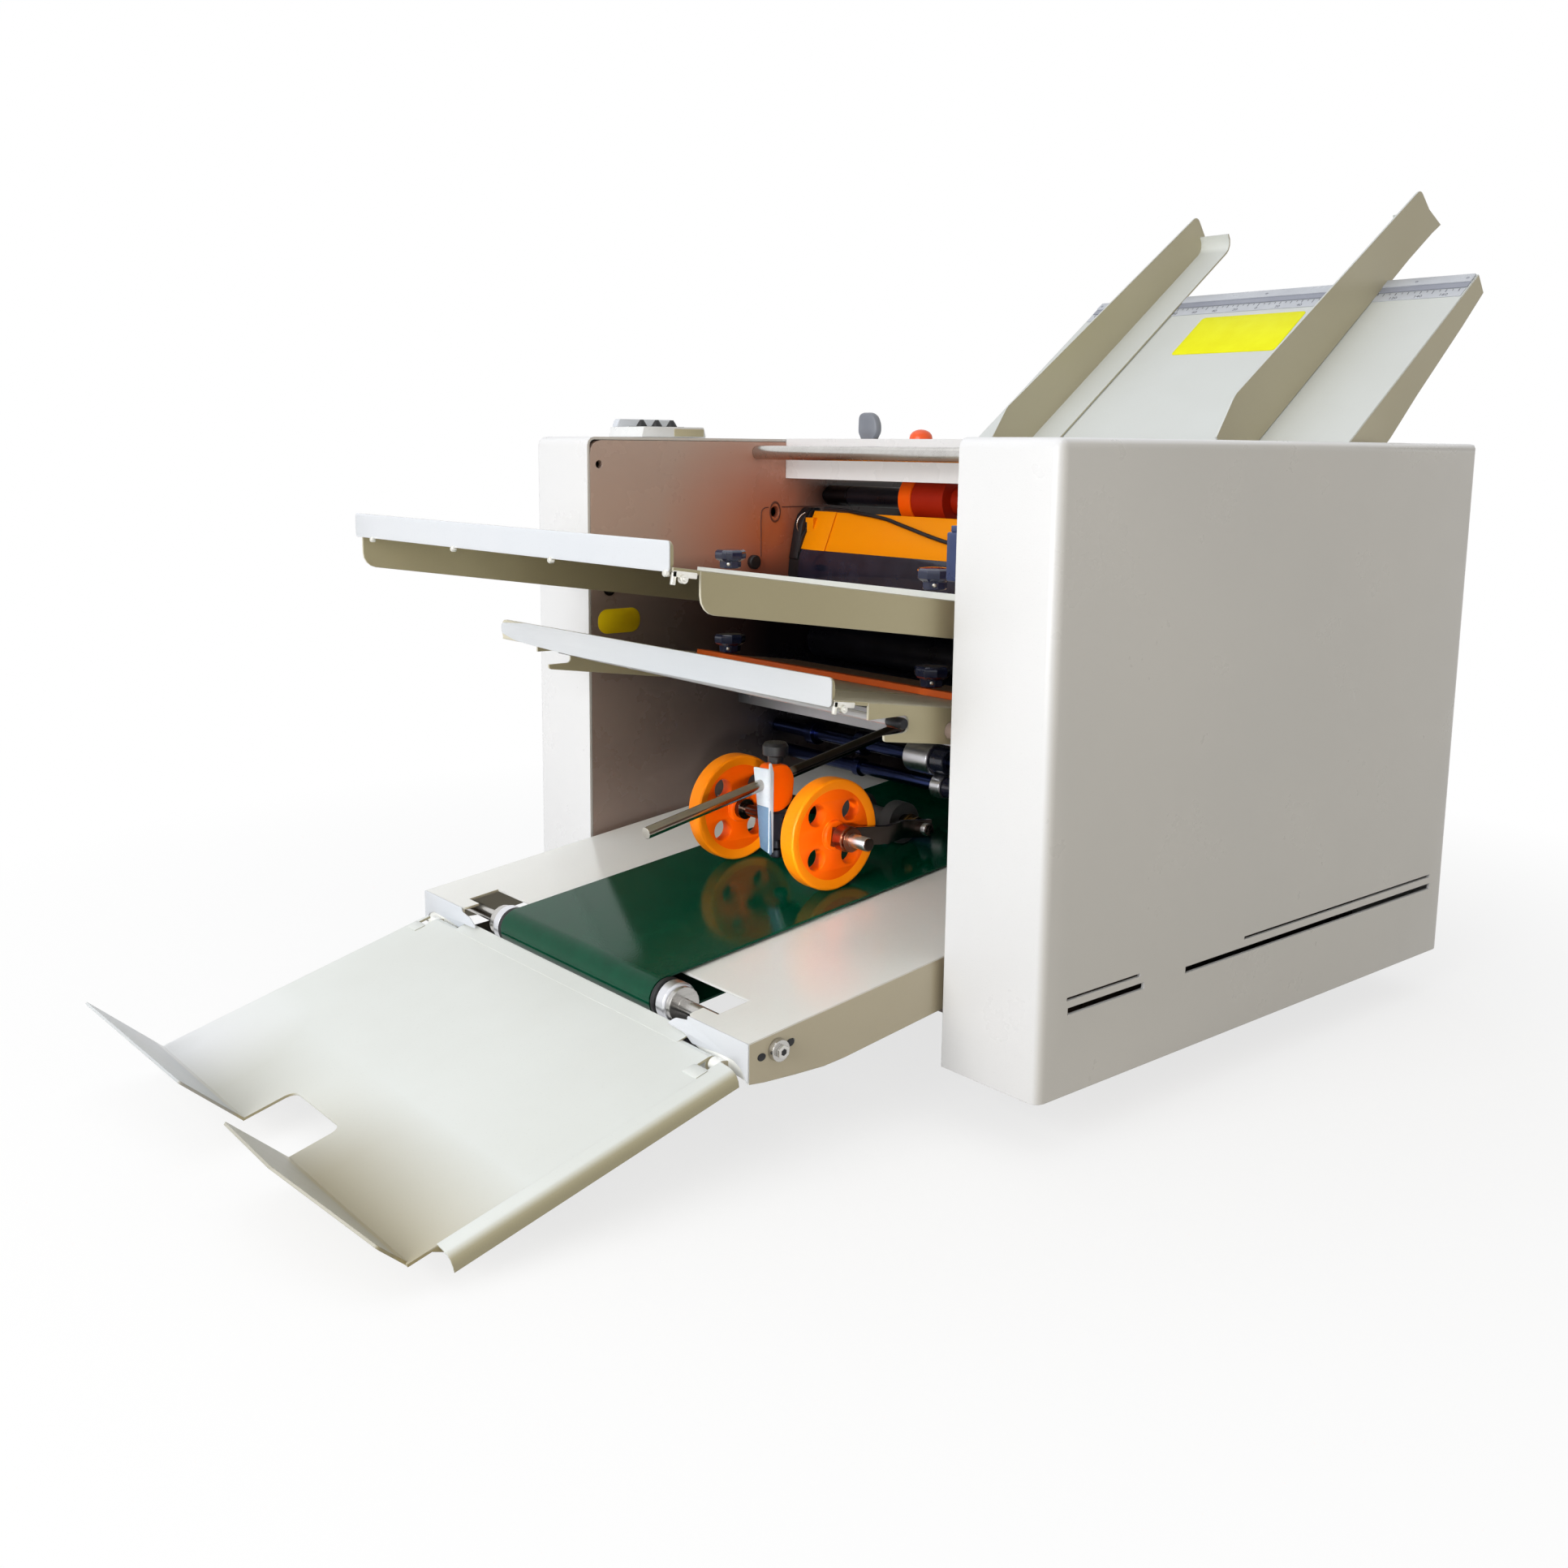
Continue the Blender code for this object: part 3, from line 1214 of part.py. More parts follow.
# Belt round its two rollers
def belt_loop(radius, steps=10):
    """Outline round both rollers at this distance from their axes."""
    points = []
    for (x, z), start in (((front_roller_x, front_roller_z), math.pi / 2 + deck_slope),
                          ((rear_roller_x, rear_roller_z), -math.pi / 2 + deck_slope)):
        for step in range(steps + 1):
            angle = start + math.pi * step / steps
            points.append(Vector((x + radius * math.cos(angle), z + radius * math.sin(angle))))
    return points


belt_middle = (belt_near + belt_far) / 2
belt_width = belt_far - belt_near
loop = placed(
    flat(belt_loop(belt_radius), belt_width, [belt_loop(belt_radius - belt_sheet)]),
    side(belt_middle))
piece("conveyor_belt", loop, "belt_green")
ring_radius = 0.0105
ring_clear = 0.004
ring_width = 0.013
ring_neck = 0.0045
head_radius = 0.0062
head_bevel = 0.0004
head_height = 0.003
head_start = deck_half_width + fit_gap
near_ring = belt_near - ring_clear
far_ring = belt_far + ring_clear
front_profile = [
    (0, -head_start - head_height), (head_radius - head_bevel, -head_start - head_height), (head_radius, -head_start),
    (axle_radius, -head_start), (axle_radius, near_ring - ring_width), (ring_radius, near_ring - ring_width),
    (ring_radius, near_ring), (ring_neck, near_ring), (ring_neck, belt_near), (belt_roller_radius, belt_near),
    (belt_roller_radius, belt_far), (ring_neck, belt_far), (ring_neck, far_ring), (ring_radius, far_ring),
    (ring_radius, far_ring + ring_width), (axle_radius, far_ring + ring_width), (axle_radius, head_start),
    (head_radius, head_start), (head_radius - head_bevel, head_start + head_height), (0, head_start + head_height)]
piece("front_belt_roller", placed(turned(front_profile, 20), spindle(front_roller_x, front_roller_z)), "steel",
      pivot=(front_roller_x, 0, front_roller_z))
rear_profile = [
    (0, -shaft_end), (journal_radius, -shaft_end), (journal_radius, belt_near), (belt_roller_radius, belt_near),
    (belt_roller_radius, belt_far), (journal_radius, belt_far), (journal_radius, shaft_end), (0, shaft_end)]
piece("rear_belt_roller", placed(turned(rear_profile, 20), spindle(rear_roller_x, rear_roller_z)), "steel",
      pivot=(rear_roller_x, 0, rear_roller_z))

# Wheel rod, its cross bar between deck and lower plate, and the carriage that slides on it
bar_z = deck_z(bar_x) + bar_share * (lower_z(bar_x) - deck_z(bar_x))
rod_rear = (bar_x + socket_depth - bar_half, bar_z + socket_rise)
rod_middle_z = wheel_z + rod_over_axle
rod_slope = math.atan((rod_rear[1] - rod_middle_z) / (rod_rear[0] - wheel_x))
rod_front = (rod_rear[0] - rod_length * math.cos(rod_slope), rod_rear[1] - rod_length * math.sin(rod_slope))
rod_matrix = side(carriage_y, *rod_front, rod_slope)
rod_axis = rod_matrix @ Matrix.Rotation(math.pi / 2, 4, "Y")
piece("wheel_rod", placed(rod(rod_radius, 0, rod_length), rod_axis), "steel")
socket_reach = 0.030
cross = block(bar_x - bar_half, bar_x + bar_half, -between, between, bar_z - bar_rise, bar_z + bar_rise)
socket = placed(rod(rod_radius + fit_gap, rod_length - socket_reach, rod_length + fit_gap), rod_axis)
piece("cross_bar", cross, "steel", cuts=(socket,))


def rod_z_at(x):
    return rod_front[1] + math.tan(rod_slope) * (x - rod_front[0])


clamp_lead = 0.0145
clamp_back = 0.013
clamp_over_axle = 0.006
clamp_over_rod = 0.0106
clamp_width = 0.015
clamp_round = 0.002
clamp_heel_round = 0.006
clamp_front = wheel_x - clamp_lead
clamp_rear = wheel_x + clamp_back
clamp_low = wheel_z + clamp_over_axle
clamp_high = rod_middle_z + clamp_over_rod
clamp = placed(
    flat(rounded([(clamp_front, clamp_low, clamp_round), (clamp_rear, clamp_low, clamp_heel_round),
                  (clamp_rear, clamp_high, clamp_round), (clamp_front, clamp_high, clamp_round)]), clamp_width),
    side(carriage_y))
rod_at_clamp = (wheel_x - rod_front[0]) / math.cos(rod_slope)
rod_hole_half = 0.050
rod_hole = placed(rod(rod_radius + turn_gap, rod_at_clamp - rod_hole_half, rod_at_clamp + rod_hole_half), rod_axis)
knob_lead = 0.005
knob_x = wheel_x - knob_lead
knob_stem = 0.003
stem_depth = 0.0045
stem_hole = placed(rod(knob_stem + turn_gap, clamp_high - stem_depth, clamp_high + overrun, 16),
                   Matrix.Translation((knob_x, carriage_y, 0)))
carriage_pivot = (wheel_x, carriage_y, rod_z_at(wheel_x))
piece("rod_clamp", clamp, "orange", pivot=carriage_pivot, cuts=(rod_hole, stem_hole))
holder_neck = 0.005
holder_neck_rise = 0.004
holder_skirt_rise = 0.005
holder_radius = 0.0085
holder_shoulder = 0.011
holder_top_radius = 0.007
holder_height = 0.013
stem_bottom = clamp_high - stem_depth + fit_gap
knob_profile = [
    (0, stem_bottom), (knob_stem, stem_bottom), (knob_stem, clamp_high + fit_gap), (holder_neck, clamp_high + fit_gap),
    (holder_neck, clamp_high + holder_neck_rise), (holder_radius, clamp_high + holder_skirt_rise),
    (holder_radius, clamp_high + holder_shoulder), (holder_top_radius, clamp_high + holder_height),
    (0, clamp_high + holder_height)]
piece("holder_knob", placed(turned(knob_profile, 16), Matrix.Translation((knob_x, carriage_y, 0))), "navy",
      pivot=(knob_x, carriage_y, clamp_high))

# Bracket: plate in front of the clamp, with a foot that grips the axle
front_axle_radius = 0.004
bracket_lead = 0.017
bracket_drop = 0.0145
bracket_short = 0.0025
bracket_half = 0.0095
bracket_round = 0.002
bracket_rod_gap = 0.0009
saddle_drop = 0.0125
saddle_back = 0.007
saddle_width = 0.012
saddle_round = 0.004
plate_front = wheel_x - bracket_lead
plate_back = clamp_front - fit_gap
bracket_x = (plate_front + plate_back) / 2
bracket = placed(
    flat(oblong(carriage_y - bracket_half, carriage_y + bracket_half, wheel_z - bracket_drop, clamp_high - bracket_short,
                bracket_round),
         plate_back - plate_front, [circle(carriage_y, rod_z_at(bracket_x), rod_radius + bracket_rod_gap)]),
    facing(bracket_x))
saddle_low = wheel_z - saddle_drop
saddle_high = clamp_low - fit_gap
saddle = placed(
    flat(rounded([(plate_front + deep_lap, saddle_low), (wheel_x + saddle_back, saddle_low, saddle_round),
                  (wheel_x + saddle_back, saddle_high, bracket_round), (plate_front + deep_lap, saddle_high)]),
         saddle_width, [circle(wheel_x, wheel_z, front_axle_radius + fit_gap, 20)]),
    side(carriage_y))
screw_drop = 0.025
screw_lead = 0.003
screw_head = 0.0045
screw_head_height = 0.006
screw_neck = 0.0025
screw_length = 0.0145
screw_low = wheel_z - screw_drop
screw = placed(
    turned([(0, screw_low), (screw_head, screw_low), (screw_head, screw_low + screw_head_height),
            (screw_neck, screw_low + screw_head_height + lap), (screw_neck, screw_low + screw_length),
            (0, screw_low + screw_length)], 12),
    Matrix.Translation((wheel_x - screw_lead, carriage_y, 0)))
piece("wheel_bracket", bracket, "steel", joins=(saddle, screw))

# Axle frame: both axles, their collars and the two side arms
arm_slope = math.atan((rear_axle_z - wheel_z) / axle_spacing)
arm_length = axle_spacing / math.cos(arm_slope)
arm_sheet = 0.003
arm_half_height = 0.006
arm_gap = 0.0035
arm_y = wheel_width / 2 + arm_gap
arm_past = 0.0065
arm_step = 0.015
arm_step_shares = (0.4543, 0.7756)
axle_near_past = 0.037
axle_far_past = 0.019
wheel_hub_half = 0.0075
hub_collar = 0.0045
hub_collar_radius = 0.007
end_collar = 0.022
end_collar_radius = 0.0078
axle_near = wheel_near_y - axle_near_past
axle_far = wheel_far_y + axle_far_past
front_axle = [(0, axle_near), (front_axle_radius, axle_near)]
collars = (
    (wheel_near_y - end_collar, wheel_near_y - arm_y - arm_sheet / 2, end_collar_radius),
    (wheel_near_y + wheel_hub_half + fit_gap, wheel_near_y + wheel_hub_half + hub_collar, hub_collar_radius),
    (wheel_far_y - wheel_hub_half - hub_collar, wheel_far_y - wheel_hub_half - fit_gap, hub_collar_radius))
for start, end, radius in collars:
    front_axle += [(front_axle_radius, start), (radius, start), (radius, end), (front_axle_radius, end)]
front_axle += [(front_axle_radius, axle_far), (0, axle_far)]
arms = []
for sign, wheel_y in ((-1, wheel_near_y), (1, wheel_far_y)):
    outer_y = wheel_y + sign * (arm_y + arm_sheet)
    inner_y = outer_y - sign * arm_step
    path = [(-arm_past, outer_y), (arm_length * arm_step_shares[0], outer_y), (arm_length * arm_step_shares[1], inner_y),
            (arm_length + arm_past, inner_y)]
    arms.append(placed(
        flat(strip(path if sign > 0 else path[::-1], arm_sheet), 2 * arm_half_height),
        level(wheel_z, wheel_x, 0, arm_slope)))
rear_past = 0.002
rear_wheel_half = 0.0255
rear_collar_radius = 0.0065
rear_near = wheel_near_y - rear_past
rear_far = wheel_far_y + rear_past
rear_axle = [(0, rear_near), (front_axle_radius, rear_near)]
for start, end in ((carriage_y - rear_wheel_half - hub_collar, carriage_y - rear_wheel_half - fit_gap),
                   (carriage_y + rear_wheel_half + fit_gap, carriage_y + rear_wheel_half + hub_collar)):
    rear_axle += [(front_axle_radius, start), (rear_collar_radius, start), (rear_collar_radius, end),
                  (front_axle_radius, end)]
rear_axle += [(front_axle_radius, rear_far), (0, rear_far)]
piece("wheel_axle", placed(turned(front_axle, 16), spindle(wheel_x, wheel_z)), "steel",
      joins=(together(arms), placed(turned(rear_axle, 16), spindle(rear_axle_x, rear_axle_z))))

# Press wheels with four holes, and the rear pair on one sleeve
wheel_bore = front_axle_radius + turn_gap
half = wheel_width / 2
hub_radius = 0.0095
hub_slope = 0.0015
web_depth = 0.0015
rim_width = 0.006
rim_slope = 0.0015
rim_edge = 0.001
hole_circle_share = 0.5556
wheel_hole_radius = 0.0070
rim_radius = wheel_radius - rim_width
wheel_profile = [
    (wheel_bore, -wheel_hub_half), (hub_radius, -wheel_hub_half), (hub_radius + hub_slope, web_depth - half),
    (rim_radius - rim_slope, web_depth - half), (rim_radius, -half), (wheel_radius - rim_edge, -half),
    (wheel_radius, rim_edge - half), (wheel_radius, half - rim_edge), (wheel_radius - rim_edge, half), (rim_radius, half),
    (rim_radius - rim_slope, half - web_depth), (hub_radius + hub_slope, half - web_depth), (hub_radius, wheel_hub_half),
    (wheel_bore, wheel_hub_half)]
for name, y in (("near", wheel_near_y), ("far", wheel_far_y)):
    wheel = placed(turned(wheel_profile, 36, ring=True), spindle(wheel_x, wheel_z, y))
    holes = []
    for quarter in range(4):
        turn = math.radians(45 + 90 * quarter)
        x = wheel_x + wheel_radius * hole_circle_share * math.cos(turn)
        z = wheel_z + wheel_radius * hole_circle_share * math.sin(turn)
        holes.append(placed(rod(wheel_hole_radius, -wheel_width, wheel_width, 16), spindle(x, z, y)))
    piece("press_wheel_" + name, wheel, "orange", pivot=(wheel_x, y, wheel_z), cuts=(together(holes),))
rear_gap_half = 0.0155
rear_waist = 0.007
rear_profile = [
    (wheel_bore, -rear_wheel_half), (rear_wheel_radius, -rear_wheel_half), (rear_wheel_radius, -rear_gap_half),
    (rear_waist, -rear_gap_half), (rear_waist, rear_gap_half), (rear_wheel_radius, rear_gap_half),
    (rear_wheel_radius, rear_wheel_half), (wheel_bore, rear_wheel_half)]
piece("rear_wheel_set", placed(turned(rear_profile, 20, ring=True), spindle(rear_axle_x, rear_axle_z, carriage_y)),
      "grey", pivot=(rear_axle_x, carriage_y, rear_axle_z))

# Delivery tray: notched plate with side lips, a hinge barrel behind and two flaps in front
notch_near = -0.028
notch_far = 0.032
notch_depth = 0.030
notch_round = 0.006
clear = 0.0007
pocket = 2 * hinge_barrel_radius + close
tray_matrix = level(tray_fold[1], tray_fold[0], 0, tray_slope)
back = tray_length * math.cos(tray_slope) + (hinge_z - tray_fold[1]) * math.sin(tray_slope)
tray_edge = tray_half_width - lap
tray_outline = rounded([
    (-sunk, -tray_edge), (back, -tray_edge), (back, -knuckle_far - clear), (back - pocket, -knuckle_far - clear),
    (back - pocket, clear - knuckle_near), (back, clear - knuckle_near), (back, knuckle_near - clear),
    (back - pocket, knuckle_near - clear), (back - pocket, knuckle_far + clear), (back, knuckle_far + clear),
    (back, tray_edge), (-sunk, tray_edge), (-sunk, notch_far), (notch_depth, notch_far, notch_round),
    (notch_depth, notch_near, notch_round), (-sunk, notch_near)])
tray_plate = placed(flat(tray_outline, thin_sheet, start=-thin_sheet), tray_matrix)
lip_depth = 0.010
lip_start = 0.010
lip_ramp = 0.014
lip_end_gap = 0.008
lip_end_ramp = 0.006
lip_front_round = 0.006
lip_rear_round = 0.004
tray_lips = []
for sign in (-1, 1):
    lip_line = [
        (lip_start, -lap), (lip_start + lip_ramp, -lip_depth, lip_front_round),
        (back - lip_end_gap - lip_end_ramp, -lip_depth, lip_rear_round), (back - lip_end_gap, -lap)]
    lip_frame = side(sign * (tray_half_width - thin_sheet / 2), *tray_fold, tray_slope)
    tray_lips.append(placed(flat(rounded(lip_line), thin_sheet), lip_frame))
flap_inset = 0.002
far_flap_cut = 0.012
far_flap_round = 0.003
near_flap_cut = 0.005
near_flap_round = 0.002
near_flap_corner = 0.018
near_flap_corner_round = 0.003
near_flap_tip_round = 0.008
near_flap_tip_inset = 0.067
near_flap_tip_y = near_flap_tip_inset - tray_half_width
flap_matrix = frame(Vector((tray_fold[0], 0, tray_fold[1])), Vector((-math.cos(flap_angle), 0, math.sin(flap_angle))),
                    Vector((0, 1, 0)))
flap_side = tray_half_width - flap_inset
far_flap = [(-sunk, notch_far), (far_flap_length - far_flap_cut, notch_far, far_flap_round), (far_flap_length, flap_side),
            (-sunk, flap_side)]
near_flap = [
    (-sunk, notch_near), (near_flap_length - near_flap_cut, notch_near, near_flap_round),
    (near_flap_length, near_flap_tip_y, near_flap_tip_round), (near_flap_corner, -flap_side, near_flap_corner_round),
    (-sunk, -flap_side)]
flaps = [placed(flat(rounded(line), thin_sheet, start=0), flap_matrix) for line in (far_flap, near_flap)]
barrel = placed(rod(hinge_barrel_radius - hair_lap, clear - knuckle_near, knuckle_near - clear, 20),
                spindle(tray_hinge_x, hinge_z))
tray_pin = placed(rod(pin_radius, -knuckle_far, knuckle_far, 12), spindle(tray_hinge_x, hinge_z))
piece("delivery_tray", tray_plate, "cream_paint", pivot=(tray_hinge_x, 0, hinge_z),
      joins=(together(tray_lips), together(flaps), barrel, tray_pin))

# Power inlet and its rocker switch in the upstand
inlet_sheet = 0.003
inlet_border = 0.004
inlet_depth = 0.028
socket_half_width = 0.011
socket_bottom_drop = 0.022
socket_top_drop = 0.005
inlet_socket_depth = 0.016
rocker_well_depth = 0.011
rocker_well_gap = 0.0011
rocker_well_half = 0.0100
switch_rise = 0.014
rocker_half = 0.0068
rocker_sink = 0.0055
rocker_back = 0.003
rocker_face = 0.0055
rocker_waist = 0.0040
rocker_width = 0.0190
rocker_pin_radius = 0.0012
rocker_pin_half = 0.0118
pin_end_gap = 0.0007
tilt = math.radians(8)
plate_face = upstand_x + cover_sheet / 2 + fit_gap
inlet_face = plate_face + inlet_sheet
body_half = module_width / 2 - fit_gap
body_high = module_height / 2 - fit_gap
bezel_half = module_width / 2 + inlet_border
bezel_high = module_height / 2 + inlet_border
inlet = block(plate_face, inlet_face, module_y - bezel_half, module_y + bezel_half, module_z - bezel_high,
              module_z + bezel_high)
inlet_body = block(plate_face - inlet_depth, plate_face + sunk, module_y - body_half, module_y + body_half,
                   module_z - body_high, module_z + body_high)
switch_z = module_z + switch_rise
rocker_x = inlet_face - rocker_sink
socket_hole = block(inlet_face - inlet_socket_depth, inlet_face + overrun, module_y - socket_half_width,
                    module_y + socket_half_width, module_z - socket_bottom_drop, module_z - socket_top_drop)
well_high = rocker_half + rocker_well_gap
rocker_hole = block(inlet_face - rocker_well_depth, inlet_face + overrun, module_y - rocker_well_half,
                    module_y + rocker_well_half, switch_z - well_high, switch_z + well_high)
pin_reach = rocker_pin_half + pin_end_gap
pin_hole = placed(rod(rocker_pin_radius + turn_gap, -pin_reach, pin_reach, 12), spindle(rocker_x, switch_z, module_y))
piece("power_inlet", inlet, "black", joins=(inlet_body,), cuts=(together([socket_hole, rocker_hole]), pin_hole))
rocker_line = [(-rocker_back, -rocker_half), (rocker_face, -rocker_half), (rocker_waist, 0), (rocker_face, rocker_half),
               (-rocker_back, rocker_half)]
rocker = placed(flat(rocker_line, rocker_width), side(module_y, rocker_x, switch_z, tilt))
rocker_pin = placed(rod(rocker_pin_radius, -rocker_pin_half, rocker_pin_half, 12), spindle(rocker_x, switch_z, module_y))
piece("power_switch", rocker, "black", pivot=(rocker_x, module_y, switch_z), joins=(rocker_pin,))
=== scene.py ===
"""Looks of the paper folding machine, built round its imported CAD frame.

Lengths are metres in the row frame. "Machine frame" below means the drawing frame of
the casings: x from their front edge toward the feed end, z from their bottom edge.
"""

from math import atan, cos, pi, radians, sin, tau

import bmesh
import bpy
from mathutils import Matrix, Vector


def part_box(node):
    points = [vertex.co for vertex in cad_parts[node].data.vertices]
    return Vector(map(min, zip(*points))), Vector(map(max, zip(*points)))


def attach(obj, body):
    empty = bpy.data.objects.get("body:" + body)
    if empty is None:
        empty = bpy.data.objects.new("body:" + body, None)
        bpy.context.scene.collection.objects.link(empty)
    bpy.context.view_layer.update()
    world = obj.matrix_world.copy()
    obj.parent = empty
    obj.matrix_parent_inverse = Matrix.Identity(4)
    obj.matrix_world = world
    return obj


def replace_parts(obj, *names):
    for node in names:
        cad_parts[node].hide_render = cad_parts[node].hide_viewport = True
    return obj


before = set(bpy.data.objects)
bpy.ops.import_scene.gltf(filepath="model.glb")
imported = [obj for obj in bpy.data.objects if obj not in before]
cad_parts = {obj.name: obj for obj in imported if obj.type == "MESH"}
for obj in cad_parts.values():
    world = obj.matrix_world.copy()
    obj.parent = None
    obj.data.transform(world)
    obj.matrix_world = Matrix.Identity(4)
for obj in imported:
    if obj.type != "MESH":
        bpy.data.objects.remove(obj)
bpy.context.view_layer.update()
scene = bpy.context.scene

# The machine frame's origin in the row frame: front bottom edge of the casings
casing_low, casing_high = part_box("side_cover_near")
origin = Vector((casing_low.x, 0, casing_low.z))


def here(x, y, z):
    """A point of the machine frame, given in millimetres, in the row frame."""
    return origin + Vector((x, y, z)) / 1000


# -------- node helpers

def srgb(red, green, blue):
    """Screen colour, 0 to 255, as linear shader colour."""
    def linear(value):
        share = value / 255
        return share / 12.92 if share <= 0.04045 else ((share + 0.055) / 1.055) ** 2.4
    return (linear(red), linear(green), linear(blue), 1.0)


def add(tree, kind, values=(), **settings):
    """Node of this kind, with settings, and sockets set or linked by name or number."""
    node = tree.nodes.new(kind)
    for name, value in settings.items():
        setattr(node, name, value)
    for name, value in dict(values).items():
        if isinstance(value, bpy.types.NodeSocket):
            tree.links.new(value, node.inputs[name])
        else:
            node.inputs[name].default_value = value
    return node


def effect(name, inputs, outputs):
    """Shader node group with named inputs (name, kind, value) and outputs (name, kind)."""
    group = bpy.data.node_groups.new(name, "ShaderNodeTree")
    for label, kind, value in inputs:
        socket = group.interface.new_socket(label, in_out="INPUT", socket_type="NodeSocket" + kind)
        socket.default_value = value
    for label, kind in outputs:
        group.interface.new_socket(label, in_out="OUTPUT", socket_type="NodeSocket" + kind)
    return group, group.nodes.new("NodeGroupInput").outputs, group.nodes.new("NodeGroupOutput").inputs


def mapped(tree, value, low, high, to_low=0.0, to_high=1.0):
    return add(tree, "ShaderNodeMapRange", {
        "Value": value, "From Min": low, "From Max": high, "To Min": to_low, "To Max": to_high}).outputs["Result"]


def noise(tree, place, scale, detail=3.0, rough=0.5):
    return add(tree, "ShaderNodeTexNoise", {
        "Vector": place, "Scale": scale, "Detail": detail, "Roughness": rough}).outputs["Fac"]


def place_of(tree):
    return add(tree, "ShaderNodeTexCoord").outputs["Object"]


def reckoned(tree, operation, first, second):
    return add(tree, "ShaderNodeMath", {0: first, 1: second}, operation=operation).outputs[0]


def distance_to(tree, x, y, z):
    """Distance in metres from a point of the machine frame, given in millimetres."""
    both = {0: place_of(tree), 1: here(x, y, z)}
    return add(tree, "ShaderNodeVectorMath", both, operation="DISTANCE").outputs["Value"]


def mix(tree, share, first, second, blend="MIX"):
    node = add(tree, "ShaderNodeMix", data_type="RGBA", blend_type=blend)
    for socket, value in ((node.inputs["Factor"], share), (node.inputs[6], first), (node.inputs[7], second)):
        if isinstance(value, bpy.types.NodeSocket):
            tree.links.new(value, socket)
        else:
            socket.default_value = value
    return node.outputs[2]


# -------- shared effects

def build_sheet_paint():
    """Powder coat: slow patches between two tints, fine orange peel and faint dust; the patches are random tone and
    on the casing also a painted reflection of the surroundings, and faces that look to the near side get a painted
    shade.
    """
    group, given, out = effect(
        "sheet_paint",
        [("Paint", "Color", (0.8, 0.8, 0.8, 1)), ("Shade", "Color", (0.7, 0.7, 0.7, 1)),
         ("Patch Scale", "Float", 5.0), ("Patch Amount", "Float", 0.5), ("Gloss", "Float", 0.35),
         ("Side Tint", "Color", (1, 1, 1, 1))],
        [("Color", "Color"), ("Roughness", "Float"), ("Height", "Float")])
    place = place_of(group)
    # Slow patches: random tone, and on the casing a painted reflection of the surroundings.
    patches = mapped(group, noise(group, place, given["Patch Scale"], 4.0, 0.55), 0.36, 0.64)
    amount = reckoned(group, "MULTIPLY", patches, given["Patch Amount"])
    tint = mix(group, amount, given["Paint"], given["Shade"])
    specks = mapped(group, noise(group, place, 900.0, 2.0), 0.62, 0.75, 0.0, 0.06)
    tint = mix(group, specks, tint, (0.25, 0.23, 0.2, 1))
    # Faces that look to the near side are multiplied by the Near Side Shade colour: painted shade.
    facing = add(group, "ShaderNodeSeparateXYZ", {0: add(group, "ShaderNodeTexCoord").outputs["Normal"]}).outputs["Y"]
    near_side_shaded = mix(group, 1.0, tint, given["Side Tint"], "MULTIPLY")
    tint = mix(group, mapped(group, facing, -0.4, -0.9), tint, near_side_shaded)
    smears = noise(group, place, 18.0, 5.0, 0.6)
    polish = mapped(group, smears, 0.3, 0.7, -0.05, 0.06)
    peel = noise(group, place, 1400.0, 1.0)
    group.links.new(tint, out["Color"])
    group.links.new(reckoned(group, "ADD", polish, given["Gloss"]), out["Roughness"])
    group.links.new(peel, out["Height"])
    return group


def build_edge_finish():
    """Rounds edges in the shading and gives a mask of them, for paint worn at its corners and given a painted
    highlight there.
    """
    group, given, out = effect(
        "edge_finish", [("Radius", "Float", 0.0006), ("Breakup", "Float", 0.5)],
        [("Normal", "Vector"), ("Edge", "Float")])
    rounded = add(group, "ShaderNodeBevel", {"Radius": given["Radius"]}, samples=4).outputs["Normal"]
    plain = add(group, "ShaderNodeNewGeometry").outputs["True Normal"]
    same = add(group, "ShaderNodeVectorMath", {0: rounded, 1: plain}, operation="DOT_PRODUCT").outputs["Value"]
    edge = mapped(group, same, 0.99, 0.80)
    worn = mapped(group, noise(group, place_of(group), 160.0, 4.0), 0.35, 0.65)
    broken = mix(group, given["Breakup"], (1, 1, 1, 1), worn)
    group.links.new(rounded, out["Normal"])
    group.links.new(reckoned(group, "MULTIPLY", edge, broken), out["Edge"])
    return group


def build_drawn_metal():
    """Metal with fine lines drawn along one direction, stretched by its Lines vector."""
    group, given, out = effect(
        "drawn_metal",
        [("Metal", "Color", (0.6, 0.6, 0.6, 1)), ("Dark", "Color", (0.3, 0.3, 0.3, 1)),
         ("Lines", "Vector", (1, 1, 1)), ("Gloss", "Float", 0.25)],
        [("Color", "Color"), ("Roughness", "Float"), ("Height", "Float")])
    drawn = {0: place_of(group), 1: given["Lines"]}
    place = add(group, "ShaderNodeVectorMath", drawn, operation="MULTIPLY").outputs[0]
    lines = noise(group, place, 1.0, 3.0, 0.6)
    stains = mapped(group, noise(group, place_of(group), 45.0, 4.0, 0.6), 0.45, 0.75, 0.0, 0.16)
    tint = mix(group, stains, given["Metal"], given["Dark"])
    tint = mix(group, mapped(group, lines, 0.4, 0.7, 0.0, 0.10), tint, given["Dark"])
    group.links.new(tint, out["Color"])
    rough = mapped(group, lines, 0.3, 0.7, -0.02, 0.03)
    group.links.new(reckoned(group, "ADD", rough, given["Gloss"]), out["Roughness"])
    group.links.new(lines, out["Height"])
    return group


